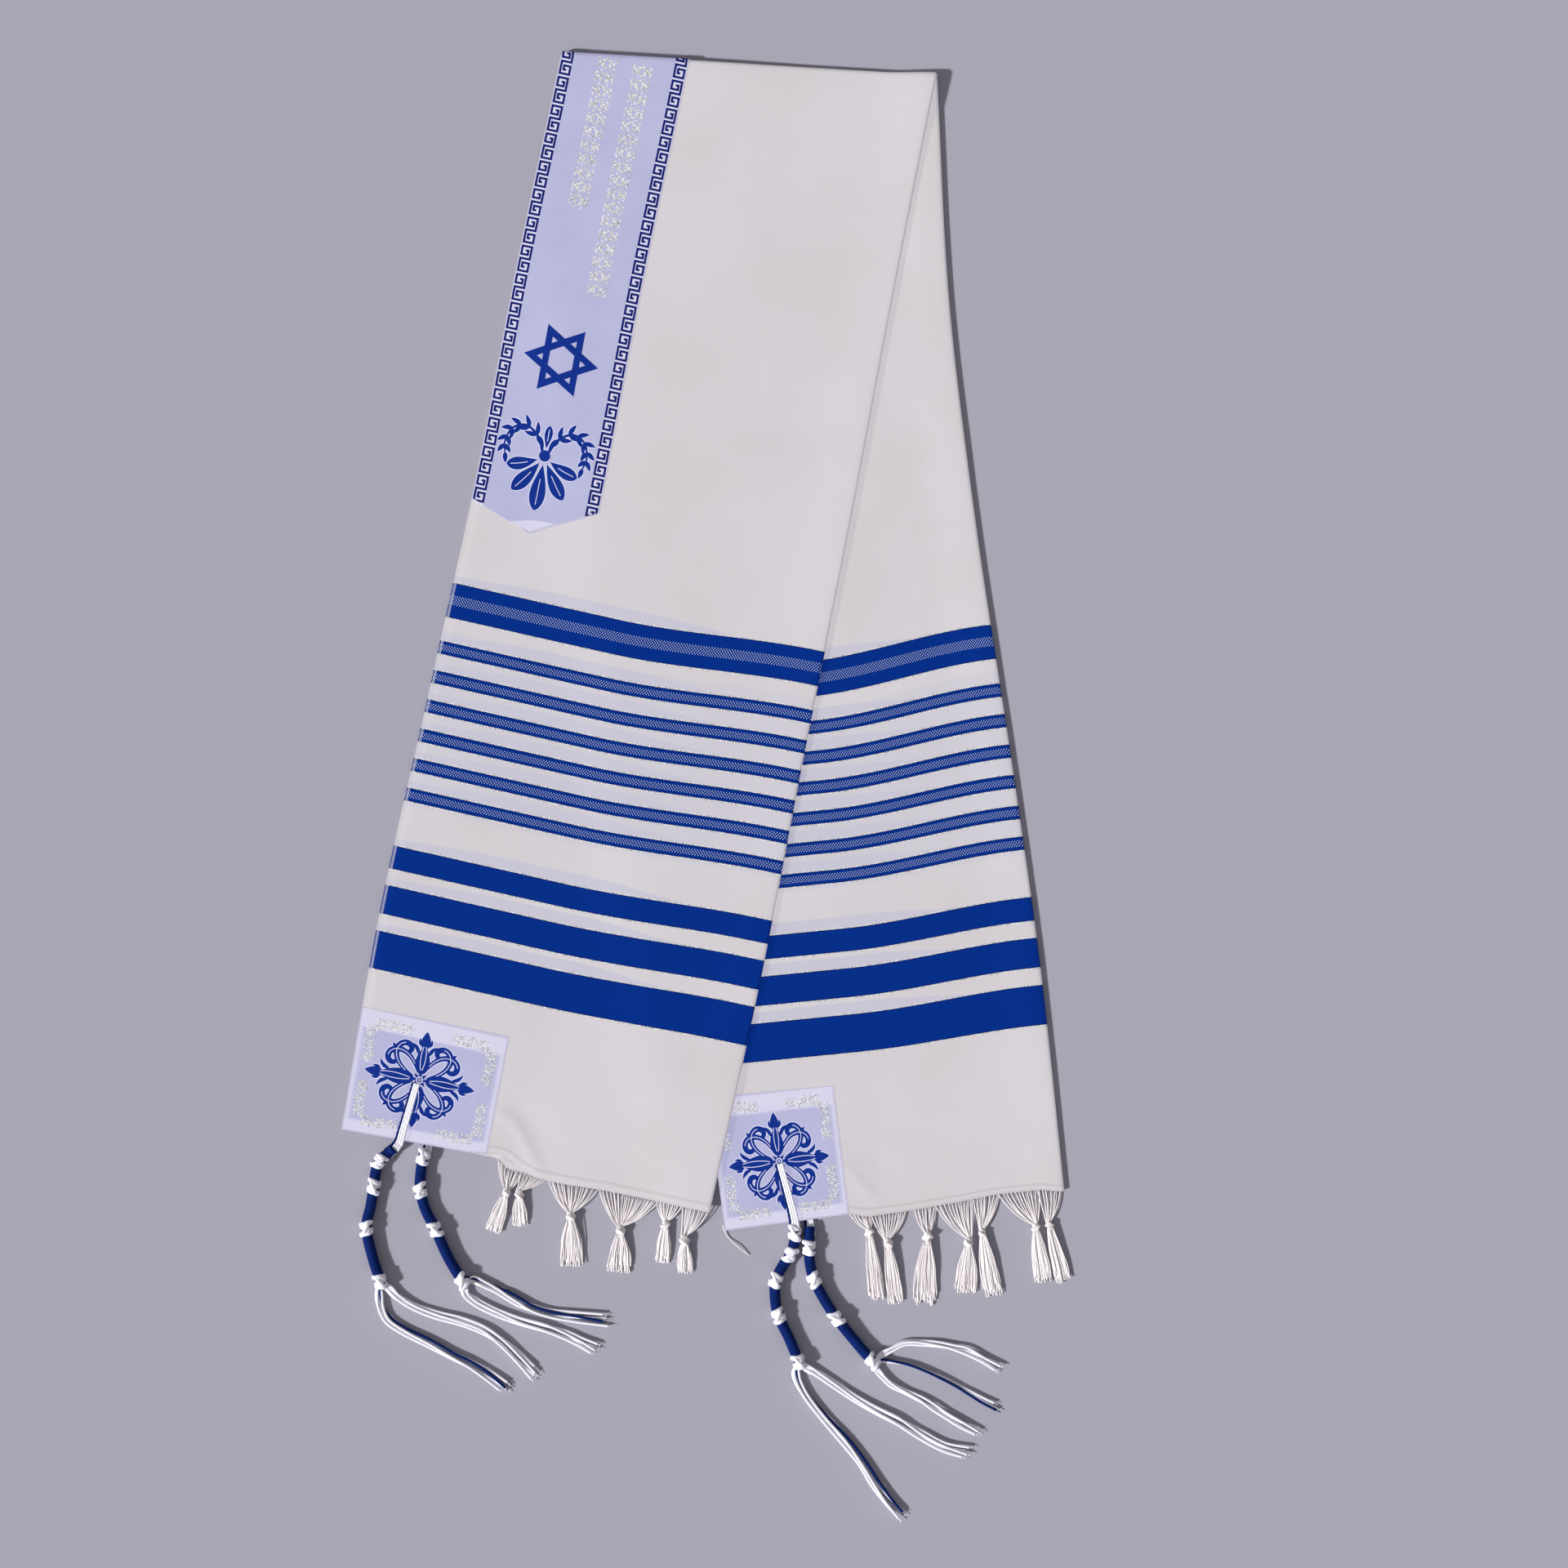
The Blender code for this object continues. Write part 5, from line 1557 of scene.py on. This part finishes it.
CAMERA_AIM = np.array([60.5, 0.7]) * MM - FOOTPRINT_CENTRE
VIEW_WIDTH = 1.2632
LENS = 60.0
SENSOR = 36.0
LIGHT_FROM = unit(np.array([-0.91, -0.41, 0.74]))
FILL_FROM = unit(np.array([0.8, 0.3, 0.9]))
AROUND_SHARE = 0.3
AROUND_COLOUR = (0.97, 0.97, 1.0, 1.0)
# Lamps: name, share of full brightness on level ground, direction, size in degrees, casts shadows
GROUND_LAMPS = (("key", 1 - AROUND_SHARE, LIGHT_FROM, 5.0, True),)
CLOTH_LAMPS = (
    ("cloth_key", 0.33, LIGHT_FROM, 5.0, False),
    ("cloth_shadow", 0.12, LIGHT_FROM, 6.0, True),
    ("cloth_fill", 0.55 - AROUND_SHARE, FILL_FROM, 5.0, False),
)
FLOOR_COLOUR = rgb(167, 165, 178)
FLOOR_REACH = 6.0
FLOOR_DROP = 0.2 * MM


def light_up(obj, lights):
    """Lets these lamps reach an object."""
    for receivers in lights:
        receivers.objects.link(obj)


def make_floor():
    g = Graph("floor")
    g.set(Base_Color=FLOOR_COLOUR, Roughness=0.9)
    points = np.array([(-1, -1, 0), (1, -1, 0), (1, 1, 0), (-1, 1, 0)]) * FLOOR_REACH
    floor = new_mesh_object("floor", points, [(0, 1, 2, 3)], g.material)
    floor.location.z = -FLOOR_DROP
    light_up(floor, GROUND_LIGHTS)


def make_sun(name, share, toward, angle, casts):
    """A lamp that gives level ground this share of its full brightness."""
    sun = bpy.data.lights.new(name, "SUN")
    sun.angle = math.radians(angle)
    sun.energy = share * math.pi / toward[2]
    sun.use_shadow = casts
    lamp = bpy.data.objects.new(name, sun)
    lamp.rotation_mode = "QUATERNION"
    lamp.rotation_quaternion = Vector(toward).to_track_quat("Z", "Y")
    bpy.context.scene.collection.objects.link(lamp)
    receivers = bpy.data.collections.new(name + "_receivers")
    lamp.light_linking.receiver_collection = receivers
    return receivers


def make_lights():
    """Even light from all round and a low key light. The sheer cloth takes its share of the key light with
    no hard shadow from the layer above, as light comes through the weave."""
    world = bpy.data.worlds.new("world")
    bpy.context.scene.world = world
    world.use_nodes = True
    background = world.node_tree.nodes["Background"]
    background.inputs["Color"].default_value = AROUND_COLOUR
    background.inputs["Strength"].default_value = AROUND_SHARE
    return [make_sun(*row) for row in GROUND_LAMPS], [make_sun(*row) for row in CLOTH_LAMPS]


def make_camera():
    data = bpy.data.cameras.new("camera")
    data.lens = LENS
    data.sensor_width = SENSOR
    camera = bpy.data.objects.new("camera", data)
    camera.location = (*CAMERA_AIM, VIEW_WIDTH * LENS / SENSOR)
    bpy.context.scene.collection.objects.link(camera)
    bpy.context.scene.camera = camera
    bpy.context.scene.view_settings.view_transform = "Standard"


make_camera()
GROUND_LIGHTS, CLOTH_LIGHTS = make_lights()
make_floor()


def hand_over(obj, lights, node=None):
    """Lights a piece and tells the frame what it rides on, and the node that it replaces."""
    light_up(obj, lights)
    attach(obj, "root")
    if node:
        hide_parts(node)
    return obj


LOOKS = (
    ("blue", WORK_LIFT, WORK_BLUE),
    ("pale", PALE_LIFT, WORK_PALE),
    ("veins", VEIN_LIFT, WORK_PALE),
    ("silver", WORK_LIFT, SILVER_THREAD),
)


def hand_over_work(name, works, place, clip=None):
    """Makes a piece of each of the blue, pale, veined and silver work."""
    for work, (suffix, lift, material) in zip(works, LOOKS):
        hand_over(work.finish(f"{name}_{suffix}", place, lift, material, clip), CLOTH_LIGHTS)


cloth = hand_over(make_cloth(), CLOTH_LIGHTS, "shawl")
band = hand_over(make_band(), CLOTH_LIGHTS, "atarah")

on_band = mapped_strip("outer")
keys = greek_keys().finish("greek_key", on_band, WORK_LIFT, KEY_BLUE, inside_band)
hand_over(keys, CLOTH_LIGHTS)
blue_work, pale_work, vein_work, silver_work = works = [Work() for _ in LOOKS]
HALVES = ((1, 0.0), (-1, -TURN_LENGTH))
for sign, middle in HALVES:
    star(blue_work, (STAR_CENTRE[0], middle + sign * STAR_CENTRE[1]))
for sign, middle in HALVES:
    palmette(blue_work, pale_work, vein_work, (CREST_CENTRE[0], middle + sign * CREST_CENTRE[1]), sign)
for vine_across, vine_length in VINE_ROWS:
    for sign, _ in HALVES:
        vine(silver_work, vine_across, vine_length, sign)
hand_over_work("neckband", works, on_band, slanted)

for flap in ("front", "back"):
    for side in ("outer", "inner"):
        level = "upper" if (side == "outer") == (flap == "front") else "under"
        name = f"patch_{flap}_{level}"
        patch = hand_over(make_patch(flap, side, name + "_cloth"), CLOTH_LIGHTS, name)
        patch_cut = (PATCH_SHARE[flap] * STRIP_WIDTH, patch_deep(flap))
        blue_work, pale_work, vein_work, silver_work = works = [Work() for _ in LOOKS]
        medallion(blue_work, pale_work, vein_work, MEDALLION[flap])
        corner_scrolls(silver_work, *patch_cut)
        hand_over_work(name, works, mapped_patch(flap, side))

for row in TASSELS:
    hand_over(make_tassel(row), GROUND_LIGHTS, row[0])
for name, rows in TZITZIT.items():
    hand_over(make_tzitzit(name, rows), GROUND_LIGHTS, name)
hand_over(make_loose_thread(), GROUND_LIGHTS)
